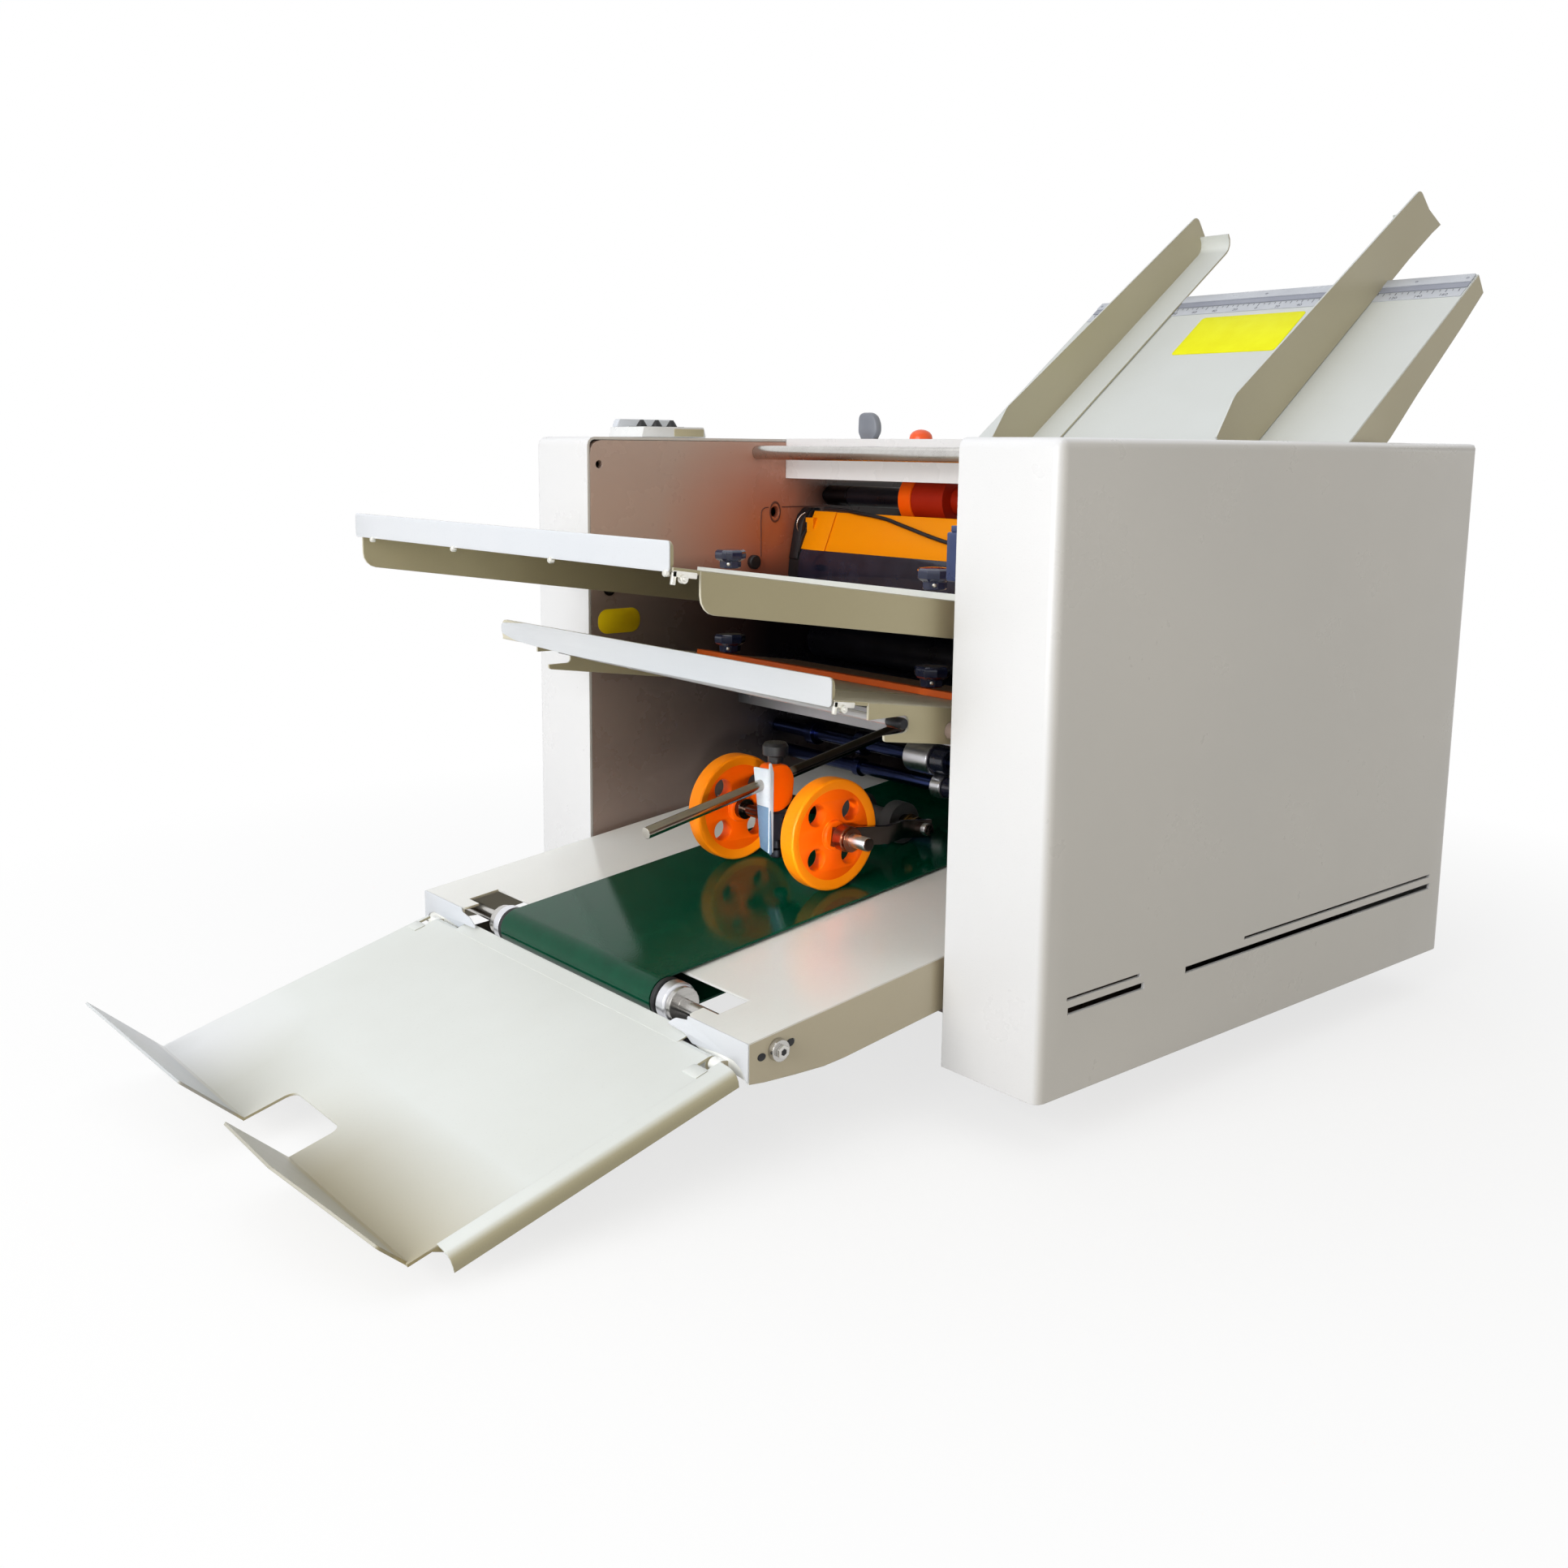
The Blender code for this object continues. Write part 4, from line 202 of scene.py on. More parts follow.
def build_moulded():
    """Moulded plastic or rubber: fine grain, slight clouding and light dust in the grain."""
    group, given, out = effect(
        "moulded",
        [("Body", "Color", (0.1, 0.1, 0.1, 1)), ("Dust", "Color", (0.3, 0.3, 0.3, 1)), ("Grain", "Float", 700.0),
         ("Dusting", "Float", 0.1), ("Gloss", "Float", 0.4)],
        [("Color", "Color"), ("Roughness", "Float"), ("Height", "Float")])
    place = place_of(group)
    grain = noise(group, place, given["Grain"], 2.0)
    cloud = mapped(group, noise(group, place, 40.0, 4.0, 0.6), 0.35, 0.7)
    share = reckoned(group, "MULTIPLY", cloud, given["Dusting"])
    group.links.new(mix(group, share, given["Body"], given["Dust"]), out["Color"])
    rough = mapped(group, cloud, 0.0, 1.0, -0.04, 0.08)
    group.links.new(reckoned(group, "ADD", rough, given["Gloss"]), out["Roughness"])
    group.links.new(grain, out["Height"])
    return group


sheet_paint = build_sheet_paint()
edge_finish = build_edge_finish()
drawn_metal = build_drawn_metal()
moulded = build_moulded()


# -------- materials

materials = {}


def surface(name, group, values, edge_color=None, depth=0.00004, metallic=0.0, coat=0.0, specular=0.5):
    """Principled material fed by one effect group, with its edges rounded by another and tinted there with wear and a
    painted highlight.
    """
    material = bpy.data.materials.get(name) or bpy.data.materials.new(name)
    material.use_nodes = True
    tree = material.node_tree
    tree.nodes.clear()
    body = add(tree, "ShaderNodeGroup", node_tree=group)
    for label, value in values.items():
        body.inputs[label].default_value = value
    edges = add(tree, "ShaderNodeGroup", node_tree=edge_finish)
    color = body.outputs["Color"]
    # Edges tinted toward the edge colour: partly wear, partly a painted highlight.
    if edge_color:
        share = reckoned(tree, "MULTIPLY", edges.outputs["Edge"], 0.5)
        color = mix(tree, share, color, edge_color)
    bump = add(tree, "ShaderNodeBump", {
        "Height": body.outputs["Height"], "Normal": edges.outputs["Normal"], "Strength": 1.0, "Distance": depth})
    shader = add(tree, "ShaderNodeBsdfPrincipled", {
        "Base Color": color, "Roughness": body.outputs["Roughness"], "Normal": bump.outputs["Normal"],
        "Metallic": metallic, "Coat Weight": coat, "Coat Roughness": 0.12, "Specular IOR Level": specular})
    add(tree, "ShaderNodeOutputMaterial", {"Surface": shader.outputs[0]})
    materials[name] = material
    return material


# side is a painted shade, multiplied into faces that look to the near side.
def painted(name, paint, shade, patch_scale, patch_amount, gloss, edge=(238, 236, 230), side=(1, 1, 1), **more):
    # edge colours the worn edges, partly as a painted highlight.
    return surface(name, sheet_paint, {
        "Paint": srgb(*paint), "Shade": srgb(*shade), "Patch Scale": patch_scale, "Patch Amount": patch_amount,
        "Gloss": gloss, "Side Tint": (*side, 1)}, edge_color=srgb(*edge), **more)


def metal(name, bright, dark, lines=(30, 300, 300), gloss=0.25, **more):
    return surface(name, drawn_metal, {
        "Metal": srgb(*bright), "Dark": srgb(*dark), "Lines": lines, "Gloss": gloss},
        metallic=1.0, depth=0.000002, **more)


def plastic(name, body, dust, grain, dusting, gloss, **more):
    return surface(name, moulded, {
        "Body": srgb(*body), "Dust": srgb(*dust), "Grain": grain, "Dusting": dusting, "Gloss": gloss}, **more)


# The side tints below are painted shade on faces that look to the near side.
painted("casing_paint", (235, 235, 237), (224, 226, 230), 4.5, 0.35, 0.30, side=(0.83, 0.81, 0.77))
painted("white_paint", (240, 241, 243), (228, 229, 232), 6.0, 0.4, 0.28, side=(0.66, 0.58, 0.42))
painted("wall_paint", (196, 172, 160), (180, 158, 148), 3.0, 0.5, 0.28, edge=(214, 206, 198))


def shader_sockets(name):
    nodes = materials[name].node_tree.nodes
    return next(node for node in nodes if node.type == "BSDF_PRINCIPLED").inputs


def opened(name):
    """Node tree, colour socket and present colour of a look, with its two tools for shading by place."""
    tree = materials[name].node_tree
    colour = shader_sockets(name)["Base Color"]
    place = add(tree, "ShaderNodeSeparateXYZ", {0: place_of(tree)}).outputs

    def across(axis, low, high, to_low=0.0, to_high=1.0):
        start = getattr(origin, axis.lower())
        return mapped(tree, place[axis], start + low / 1000, start + high / 1000, to_low, to_high)

    def product(first, second):
        return reckoned(tree, "MULTIPLY", first, second)

    return tree, colour, colour.links[0].from_socket, across, product


def facing_up(tree):
    """1 where the surface of a CAD node looks up, 0 where it looks to a side."""
    normal = add(tree, "ShaderNodeTexCoord").outputs["Normal"]
    return mapped(tree, add(tree, "ShaderNodeSeparateXYZ", {0: normal}).outputs["Z"], 0.3, 0.7)


def paint_wall_shade():
    """Side frames: painted shade that darkens the paint toward the rollers, and a painted warm reflection of the
    guard beside it.
    """
    tree, colour, paint, across, product = opened("wall_paint")
    # Painted shade: darker below 266 mm toward the rollers, a little less so near the bottom, and deep in behind 196
    # mm.
    low = product(across("Z", 266, 232), across("X", 0, 172, 0.40, 0.985))
    low = product(low, across("Z", 60, 120, 0.72, 1.0))
    deep = product(across("X", 196, 232, 0.0, 0.93), across("Z", 330, 318))
    dark = reckoned(tree, "MAXIMUM", low, deep)
    # Painted reflection: an orange tint round the guard, fading out by 120 mm.
    spot = distance_to(tree, 178, 180, 272)
    warm = mix(tree, mapped(tree, spot, 0.015, 0.12, 0.8, 0.0), paint, srgb(196, 92, 40))
    tree.links.new(mix(tree, dark, warm, srgb(17, 19, 28)), colour)


def shade_trays():
    """Trays: painted tan shade by the near end of the fold, a painted pale-blue highlight at its far end, painted
    shade on the front flaps, and painted shade on the upward faces up the feed tray.
    """
    tree, colour, paint, across, product = opened("tray_paint")
    # Painted shade: tan along the near half of the fold.
    fold = product(across("X", -258, -326), across("X", -330, -326))
    tan = product(fold, across("Y", 20, -60, 0.3, 0.8))
    paint = mix(tree, tan, paint, srgb(162, 146, 96))
    # Painted highlight: pale blue at the far end of the fold.
    gleam = distance_to(tree, -312, 150, -12)
    paint = mix(tree, mapped(tree, gleam, 0.012, 0.075, 0.85, 0.0), paint, srgb(250, 252, 255))
    # Painted shade on the front flaps: tan on the near half, grey-blue on the far half.
    flap = across("X", -325, -329)
    flap_shade = mix(tree, across("Y", -20, 20), srgb(124, 112, 74), srgb(150, 154, 164))
    paint = mix(tree, product(flap, across("Y", 120, -40, 0.45, 0.62)), paint, flap_shade)
    # Painted shade on the upward faces up the feed tray.
    feed_shade = product(across("Z", 270, 440, 0.09, 0.17), across("Z", 245, 262))
    paint = mix(tree, product(feed_shade, facing_up(tree)), paint, srgb(0, 0, 0))
    tree.links.new(paint, colour)


def paint_plate_light():
    """Fold plates: a painted pinkish light on their upper faces under the hood of the rollers."""
    tree, colour, paint, across, product = opened("plate_paint")
    hood_light = product(across("X", 30, 130, 0.0, 0.75), facing_up(tree))
    tree.links.new(mix(tree, hood_light, paint, srgb(186, 146, 122)), colour)


paint_wall_shade()
# side: painted shade on faces that look to the near side.
painted("tray_paint", (232, 236, 234), (222, 225, 221), 5.0, 0.6, 0.34, side=(0.66, 0.58, 0.41))
painted("plate_paint", (218, 213, 194), (206, 200, 180), 6.0, 0.5, 0.4, side=(0.73, 0.69, 0.56), specular=0.18)
painted("tray_plain", (232, 236, 234), (222, 225, 221), 5.0, 0.6, 0.34, side=(0.60, 0.53, 0.36))
shade_trays()
paint_plate_light()
# side: painted shade on faces that look to the near side.
painted("deck_paint", (251, 252, 249), (241, 241, 237), 5.0, 0.6, 0.20, coat=0.3, side=(0.58, 0.51, 0.38))
painted("orange_paint", (255, 154, 0), (255, 144, 0), 14.0, 0.5, 0.36, edge=(255, 166, 30), specular=0.15)
painted("black_paint", (28, 30, 38), (40, 42, 52), 14.0, 0.6, 0.35, edge=(80, 82, 92))
painted("motor_paint", (30, 31, 34), (44, 45, 48), 20.0, 0.6, 0.42, edge=(90, 90, 94))
metal("steel", (205, 203, 200), (120, 116, 110))
metal("roller_steel", (190, 188, 186), (110, 106, 102), lines=(200, 20, 200))
metal("black_steel", (52, 54, 60), (22, 22, 26), lines=(200, 20, 200), gloss=0.34)
plastic("foot_rubber", (32, 32, 33), (70, 68, 66), 500.0, 0.25, 0.75)
plastic("wheel_rubber", (48, 50, 52), (86, 86, 86), 500.0, 0.25, 0.6)
plastic("orange_rubber", (255, 92, 8), (255, 140, 60), 500.0, 0.2, 0.45)
plastic("belt_skin", (0, 62, 42), (0, 84, 58), 900.0, 0.35, 0.07, specular=0.24)
shader_sockets("belt_skin")["Specular Tint"].default_value = srgb(190, 255, 226)
plastic("orange_plastic", (255, 116, 8), (255, 150, 50), 500.0, 0.2, 0.36, edge_color=srgb(255, 176, 90))
plastic("black_plastic", (20, 20, 23), (52, 52, 56), 700.0, 0.2, 0.38)
plastic("navy_plastic", (22, 30, 62), (52, 66, 108), 700.0, 0.4, 0.10, coat=0.7)
plastic("lever_plastic", (104, 108, 116), (140, 142, 148), 600.0, 0.3, 0.42)
plastic("panel_plastic", (232, 233, 233), (206, 206, 204), 300.0, 0.4, 0.3)
plastic("cable_plastic", (18, 18, 22), (46, 46, 50), 500.0, 0.2, 0.4)


# -------- carried-over CAD nodes

def build_sewing(angle):
    """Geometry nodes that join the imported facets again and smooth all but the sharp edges."""
    group = bpy.data.node_groups.new("sewn_facets", "GeometryNodeTree")
    group.interface.new_socket("Geometry", in_out="INPUT", socket_type="NodeSocketGeometry")
    group.interface.new_socket("Geometry", in_out="OUTPUT", socket_type="NodeSocketGeometry")
    given = group.nodes.new("NodeGroupInput").outputs
    out = group.nodes.new("NodeGroupOutput").inputs
    joined = add(group, "GeometryNodeMergeByDistance", {"Geometry": given[0], "Distance": 0.000002})
    bend = add(group, "GeometryNodeInputMeshEdgeAngle").outputs["Unsigned Angle"]
    limit = {0: bend, 1: radians(angle)}
    sharp = add(group, "FunctionNodeCompare", limit, data_type="FLOAT", operation="GREATER_THAN")
    faces = add(
        group, "GeometryNodeSetShadeSmooth", {"Geometry": joined.outputs[0], "Shade Smooth": True}, domain="FACE")
    flag = add(group, "FunctionNodeBooleanMath", {0: sharp.outputs["Result"]}, operation="NOT")
    edges = add(group, "GeometryNodeSetShadeSmooth", {
        "Geometry": faces.outputs[0], "Shade Smooth": flag.outputs[0]}, domain="EDGE")
    group.links.new(edges.outputs[0], out[0])
    return group


sewn_facets = build_sewing(32)
for name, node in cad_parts.items():
    sew = node.modifiers.new("sewn", "NODES")
    sew.node_group = sewn_facets
    for slot in node.material_slots:
        slot.material = materials[slot.material.name.split(".")[0]]


# -------- making pieces

def seat(place, along, up):
    """Matrix of a drawing plane: u runs along, v runs up, thickness rises off the plane."""
    first = Vector(along).normalized()
    off = first.cross(Vector(up)).normalized()
    second = off.cross(first)
    matrix = Matrix((first, second, off)).transposed().to_4x4()
    matrix.translation = here(*place)
    return matrix


def side_on(y, x=0, z=0):
    """Drawing plane with u = x and v = z, rising toward the near side."""
    return seat((x, y, z), (1, 0, 0), (0, 0, 1))


def front_on(x, z=0):
    """Drawing plane with u = -y and v = z, rising toward the front."""
    return seat((x, 0, z), (0, -1, 0), (0, 0, 1))


def flat_on(x, y, z):
    """Drawing plane with u = x and v = y, rising upward."""
    return seat((x, y, z), (1, 0, 0), (0, 1, 0))


def outward_on(sign, x, y, z):
    """Drawing plane with u = z, rising outward on the near (-1) or the far (1) side."""
    return seat((x, y, z), (0, 0, 1), (sign, 0, 0))


machine = Matrix.Translation(origin)
sides = ((-1, "near"), (1, "far"))


def dressed(name, mesh, matrix, finish, body, soften=0.0, smooth=35):
    """Object of this mesh, with its finish, riding on its body."""
    piece = bpy.data.objects.new(name, mesh)
    scene.collection.objects.link(piece)
    mesh.transform(matrix)
    mesh.materials.clear()
    mesh.materials.append(materials[finish])
    if soften:
        bevel = piece.modifiers.new("edges", "BEVEL")
        bevel.width = soften / 1000
        bevel.segments = 2
        bevel.limit_method = "ANGLE"
        bevel.angle_limit = radians(40)
    for face in mesh.polygons:
        face.use_smooth = True
    mesh.set_sharp_from_angle(angle=radians(smooth))
    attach(piece, body)
    return piece


def fixed(name, mesh, matrix, finish, smooth=35):
    """Piece that stands still on the machine's own body."""
    return dressed(name, mesh, matrix, finish, "machine", smooth=smooth)


def ring_of(u, v, radius, steps=32, stretch=1.0):
    """Outline of a circle, or of an ellipse stretched along v."""
    turns = [tau * i / steps for i in range(steps)]
    return [(u + radius * cos(turn), v + radius * stretch * sin(turn)) for turn in turns]


def box_of(u0, u1, v0, v1, radius=0.0, steps=5):
    """Outline of a rectangle with rounded corners."""
    if not radius:
        return [(u0, v0), (u1, v0), (u1, v1), (u0, v1)]
    points = []
    for u, v, start in ((u1 - radius, v0 + radius, -90), (u1 - radius, v1 - radius, 0),
                        (u0 + radius, v1 - radius, 90), (u0 + radius, v0 + radius, 180)):
        for i in range(steps + 1):
            angle = radians(start + 90 * i / steps)
            points.append((u + radius * cos(angle), v + radius * sin(angle)))
    return points


def eased(points, radius, steps=4):
    """Outline with each corner rounded off by a curve that starts this far from it."""
    out = []
    for i, corner in enumerate(points):
        at = Vector(corner)
        before, after = Vector(points[i - 1]) - at, Vector(points[(i + 1) % len(points)]) - at
        start = at + before.normalized() * min(radius, before.length / 2.01)
        end = at + after.normalized() * min(radius, after.length / 2.01)
        for k in range(steps + 1):
            t = k / steps
            out.append(tuple(start * (1 - t) ** 2 + at * 2 * t * (1 - t) + end * t ** 2))
    return out


def strip_of(path, sheet):
    """Outline of a bent sheet, this thick, on the left of its path."""
    other = []
    for i, point in enumerate(path):
        way = (Vector(path[min(i + 1, len(path) - 1)]) - Vector(path[max(i - 1, 0)])).normalized()
        other.append((point[0] - way.y * sheet, point[1] + way.x * sheet))
    return list(path) + other[::-1]


def mesh_of(drawing):
    """Mesh of a curve or of text, which is then discarded."""
    holder = bpy.data.objects.new("drawing", drawing)
    mesh = bpy.data.meshes.new_from_object(holder)
    bpy.data.objects.remove(holder)
    bpy.data.curves.remove(drawing)
    return mesh


def joined_points(mesh):
    """The same mesh with its doubled points joined and its faces turned outward."""
    shape = bmesh.new()
    shape.from_mesh(mesh)
    bmesh.ops.remove_doubles(shape, verts=shape.verts, dist=1e-6)
    bmesh.ops.recalc_face_normals(shape, faces=shape.faces)
    shape.to_mesh(mesh)
    shape.free()
    return mesh


def shifted(mesh, u=0.0, v=0.0, rise=0.0):
    mesh.transform(Matrix.Translation((u / 1000, v / 1000, rise / 1000)))
    return mesh


def cut_sheet(outlines, thickness, edge=0.0):
    """Mesh of a flat sheet from outlines in mm, the first its rim and the rest its holes."""
    drawing = bpy.data.curves.new("drawing", "CURVE")
    drawing.dimensions = "2D"
    drawing.fill_mode = "BOTH"
    for outline in outlines:
        spline = drawing.splines.new("POLY")
        spline.points.add(len(outline) - 1)
        for point, (u, v) in zip(spline.points, outline):
            point.co = (u / 1000, v / 1000, 0, 1)
        spline.use_cyclic_u = True
    drawing.extrude = max(thickness / 2 - edge, 0.001) / 1000
    drawing.bevel_depth = edge / 1000
    drawing.offset = -edge / 1000
    drawing.bevel_resolution = 1
    return joined_points(shifted(mesh_of(drawing), rise=thickness / 2))


def lathed(profile, steps=40):
    """Mesh turned round the plane's upright axis from (radius, height) in mm."""
    shape = bmesh.new()
    rings = []
    for radius, height in profile:
        around = ring_of(0, 0, radius, steps) if radius > 1e-4 else [(0, 0)]
        rings.append([shape.verts.new((u / 1000, v / 1000, height / 1000)) for u, v in around])
    for lower, upper in zip(rings, rings[1:]):
        for i in range(steps):
            j = (i + 1) % steps
            corners = [lower[i % len(lower)], lower[j % len(lower)], upper[j % len(upper)], upper[i % len(upper)]]
            corners = [corner for k, corner in enumerate(corners) if corner not in corners[:k]]
            if len(corners) > 2:
                shape.faces.new(corners)
    bmesh.ops.recalc_face_normals(shape, faces=shape.faces)
    mesh = bpy.data.meshes.new("lathed")
    shape.to_mesh(mesh)
    shape.free()
    return mesh


def bent_wire(points, radius):
    """Mesh of a round wire through points in mm, with smooth bends."""
    drawing = bpy.data.curves.new("wire", "CURVE")
    drawing.dimensions = "3D"
    spline = drawing.splines.new("BEZIER")
    spline.bezier_points.add(len(points) - 1)
    for knot, point in zip(spline.bezier_points, points):
        knot.co = Vector(point) / 1000
        knot.handle_left_type = knot.handle_right_type = "AUTO"
    drawing.bevel_depth = radius / 1000
    drawing.bevel_resolution = 3
    drawing.resolution_u = 8
    drawing.use_fill_caps = True
    return joined_points(mesh_of(drawing))


def merged(*meshes):
    """One mesh of several."""
    shape = bmesh.new()
    for mesh in meshes:
        shape.from_mesh(mesh)
    whole = bpy.data.meshes.new("whole")
    shape.to_mesh(whole)
    shape.free()
    return whole


def box_solid(u0, u1, v0, v1, h0, h1, radius=0.0, edge=0.3):
    return shifted(cut_sheet([box_of(u0, u1, v0, v1, radius)], h1 - h0, edge), rise=h0)


def plug(radius, height, steps=40):
    """Plain turned cylinder."""
    return lathed([(0, 0), (radius, 0), (radius, height), (0, height)], steps)


def screw_head(radius, height):
    """Pan head with a driver's cross, standing on its plane."""
    reach, half = radius * 0.55, radius * 0.13
    cross = [(reach, -half), (reach, half), (half, half), (half, reach), (-half, reach), (-half, half),
             (-reach, half), (-reach, -half), (-half, -half), (-half, -reach), (half, -reach), (half, -half)]
    bends = [radians(bend) for bend in (0, 25, 50)]
    dome = [(radius * cos(bend), height * (0.25 + 0.55 * sin(bend))) for bend in bends]
    body = lathed([(0, 0), (radius, 0), *dome, (radius * 0.6, height * 0.55), (0, height * 0.55)], 28)
    crown = cut_sheet([ring_of(0, 0, radius * 0.66, 28), cross], height * 0.5, height * 0.1)
    return merged(body, shifted(crown, rise=height * 0.5))


# -------- looks of the added pieces

plastic("label_yellow", (246, 246, 0), (232, 226, 0), 300.0, 0.5, 0.5, specular=0.2)
plastic("label_amber", (255, 220, 10), (240, 198, 0), 300.0, 0.5, 0.5, specular=0.2)
plastic("ruler_silver", (196, 200, 208), (170, 174, 184), 400.0, 0.4, 0.3)
plastic("ruler_step_gray", (150, 154, 168), (130, 134, 150), 400.0, 0.4, 0.35)
plastic("ruler_ink", (60, 64, 78), (90, 92, 104), 400.0, 0.3, 0.5)
metal("bright_screw", (214, 212, 208), (130, 126, 120), lines=(400, 400, 400), gloss=0.22)
metal("dark_screw", (66, 62, 62), (28, 26, 26), lines=(400, 400, 400), gloss=0.3)
metal("pale_screw", (236, 234, 226), (170, 166, 156), lines=(400, 400, 400), gloss=0.35)
metal("copper_collar", (164, 104, 78), (60, 44, 40), lines=(300, 60, 300), gloss=0.3)
plastic("seam_shadow", (104, 62, 50), (80, 52, 44), 300.0, 0.4, 0.6)
plastic("latch_blue", (46, 58, 100), (70, 84, 128), 300.0, 0.4, 0.3)
# roller_dark: the black of the feed sleeves and the rod cap; on the fold rollers it is painted shade.
plastic("roller_dark", (15, 15, 21), (30, 30, 40), 300.0, 0.4, 0.3, specular=0.3)
plastic("dark_inside", (14, 14, 18), (34, 34, 40), 300.0, 0.4, 0.5)

# -------- far wall

wall_y = 180
keyhole = [ring_of(0, 0, radius, stretch=1.5) for radius in (5.6, 4.5)]
fixed("keyhole_rim", cut_sheet(keyhole, 0.4, 0.1), side_on(wall_y, 175, 296.5), "seam_shadow")
hatch_side = [(161.0, 262), (161.0, 280), (161.0, 294), (161.6, 297.6), (164, 299.6), (168, 300.2)]
hatch_top = [(182, 300.2), (205, 300.2), (233, 300.2)]
for name, seam in (("hatch_seam_side", hatch_side), ("hatch_seam_top", hatch_top)):
    fixed(name, bent_wire([(x, wall_y, z) for x, z in seam], 0.45), machine, "seam_shadow")
wall_label = cut_sheet([box_of(-18.5, 18.5, -9, 9, 8.0, 8)], 0.3, 0.08)
fixed("wall_label", wall_label, side_on(wall_y, 26.5, 220), "label_amber")
for number, (x, z) in enumerate(((18, 244), (10, 188)), 1):
    screw = merged(plug(5.2, 0.7), shifted(screw_head(3.4, 2.2), rise=0.7))
    fixed("wall_screw_%d" % number, screw, side_on(wall_y, x, z), "dark_screw")
stud = lathed([(0, 0), (5.5, 0), (5.5, 3.2), (4.6, 4), (0, 4)])
fixed("wall_stud", stud, side_on(wall_y, 153, 258), "black_plastic")

# -------- latch block, guard ends and feed shaft

on_near_wall = seat((15, -wall_y, 284), (-1, 0, 0), (0, 0, 1))
latch = merged(box_solid(-10, 10, -9, 18, 2.2, 12, 1.5, 0.6), box_solid(-9, 9, 18, 21.5, 3, 10, 0.8, 0.4))
fixed("latch_block", latch, on_near_wall, "latch_blue")
latch_plate = cut_sheet([box_of(-12, 12, -11, 23, 2), ring_of(0, 19.5, 1.6, 16)], 2.2, 0.3)
fixed("latch_plate", latch_plate, on_near_wall, "bright_screw")
end_plate = [(-22, 3), (-12, 3), (-7, 44), (-10, 46), (-15, 43), (-19, 34), (-18.5, 30), (-24, 24), (-27, 12)]
for sign, side in reversed(sides):
    plate = cut_sheet([[(216 + u, 253.4 + v) for u, v in end_plate]], 1.6, 0.25)
    fixed("guard_end_" + side, plate, side_on(sign * 168 + 0.8), "dark_inside")
spring = [
    (197, 169, 296), (193.6, 171, 293), (191.5, 172.5, 287), (193.5, 173, 281), (196, 174, 277), (196.5, 180, 275)]
fixed("guard_wire", bent_wire(spring, 0.5), machine, "bright_screw")
for sign, side in reversed(sides):
    sleeve = lathed([(6.2, 0), (8.0, 0), (8.0, 69), (6.2, 69), (6.2, 0)], 32)
    outward = outward_on(sign, 230, sign * 80, 309)
    dressed("feed_sleeve_" + side, sleeve, outward, "roller_dark", "feed_roller")

# -------- feed tray

feed_slope = radians(37.07)
on_feed = seat((400.4, 0, 355.9), (cos(feed_slope), 0, sin(feed_slope)), (0, 1, 0))
half_rule = 174.6
for name, outline, sheet, edge, finish in (
        ("ruler_rail", box_of(194.6, 204.7, -half_rule, half_rule, 1.2), 1.5, 0.35, "ruler_silver"),
        ("ruler_step", box_of(187.9, 194.9, -half_rule, half_rule), 0.8, 0.15, "ruler_step_gray"),
        ("ruler_scale", box_of(176.4, 186.9, 0.2 - half_rule, half_rule - 0.2, 0.6), 0.5, 0.1, "ruler_silver")):
    fixed(name, cut_sheet([outline], sheet, edge), on_feed, finish)
ticks = []
for step in range(-34, 35):
    length = 4.6 if step % 10 == 0 else 3.4 if step % 2 == 0 else 2.2
    tick = cut_sheet([box_of(186.4 - length, 186.4, step * 5 - 0.22, step * 5 + 0.22)], 0.12)
    ticks.append(shifted(tick, rise=0.48))
fixed("ruler_ticks", merged(*ticks), on_feed, "ruler_ink")


def numeral(text):
    """Mesh of a printed number, centred, reading up the slope."""
    words = bpy.data.curves.new("numeral", "FONT")
    words.body = text
    words.size = 0.0046
    words.align_x = words.align_y = "CENTER"
    words.extrude = 0.00004
    words.resolution_u = 3
    mesh = mesh_of(words)
    mesh.transform(Matrix.Rotation(-pi / 2, 4, "Z"))
    return mesh


numbers = [shifted(numeral(str(abs(step) * 20)), 179.4, step * 20.0, 0.5) for step in range(-8, 9)]
fixed("ruler_numbers", merged(*numbers), on_feed, "ruler_ink")
for number, y in enumerate((-170.5, -130.5, 0, 130.5, 171.0), 1):
    screw = shifted(screw_head(1.8, 1.1), 199.0, y, 0.55)
    fixed("ruler_screw_%d" % number, screw, on_feed, "ruler_step_gray")
feed_label = cut_sheet([box_of(115.5, 170, -52, 45.5, 3.5)], 0.3, 0.08)
fixed("feed_label", feed_label, on_feed, "label_yellow")

# -------- hinges of the fold plates' lips

nub = [(0, 0), (1.7, 0), (1.7, 2.2), (1.3, 2.8), (0, 2.9)]
nubs = [shifted(lathed(nub, 18), -y, -1.0) for y in (145, 41, -64, -166)]
fixed("upper_lip_nubs", merged(*nubs), front_on(-181.2, 288.6), "pale_screw", smooth=50)
for name, x, z, fall in (("upper", -172, 287.6, 0.139), ("lower", -68, 214.9, 0.1426)):
    slope = atan(fall)
    hinge = merged(
        box_solid(-9.5, 5, -2.6, 0.4, -1.6, 0.2, 0.6, 0.2), box_solid(-9.5, -7.3, -6.5, 0.2, -1.6, 0.2, 0.4, 0.2),
        shifted(lathed([(1.0, 0), (2.2, 0), (2.2, 2.6), (1.0, 2.6)], 18), -4, -3.2, -0.2),
        shifted(plug(1.0, 3.6, 12), -4, -3.2, -0.4))
    place = seat((x, -170, z), (cos(slope), 0, -sin(slope)), (sin(slope), 0, cos(slope)))
    fixed(name + "_lip_bracket", hinge, place, "pale_screw")

# -------- ends of the belt roller

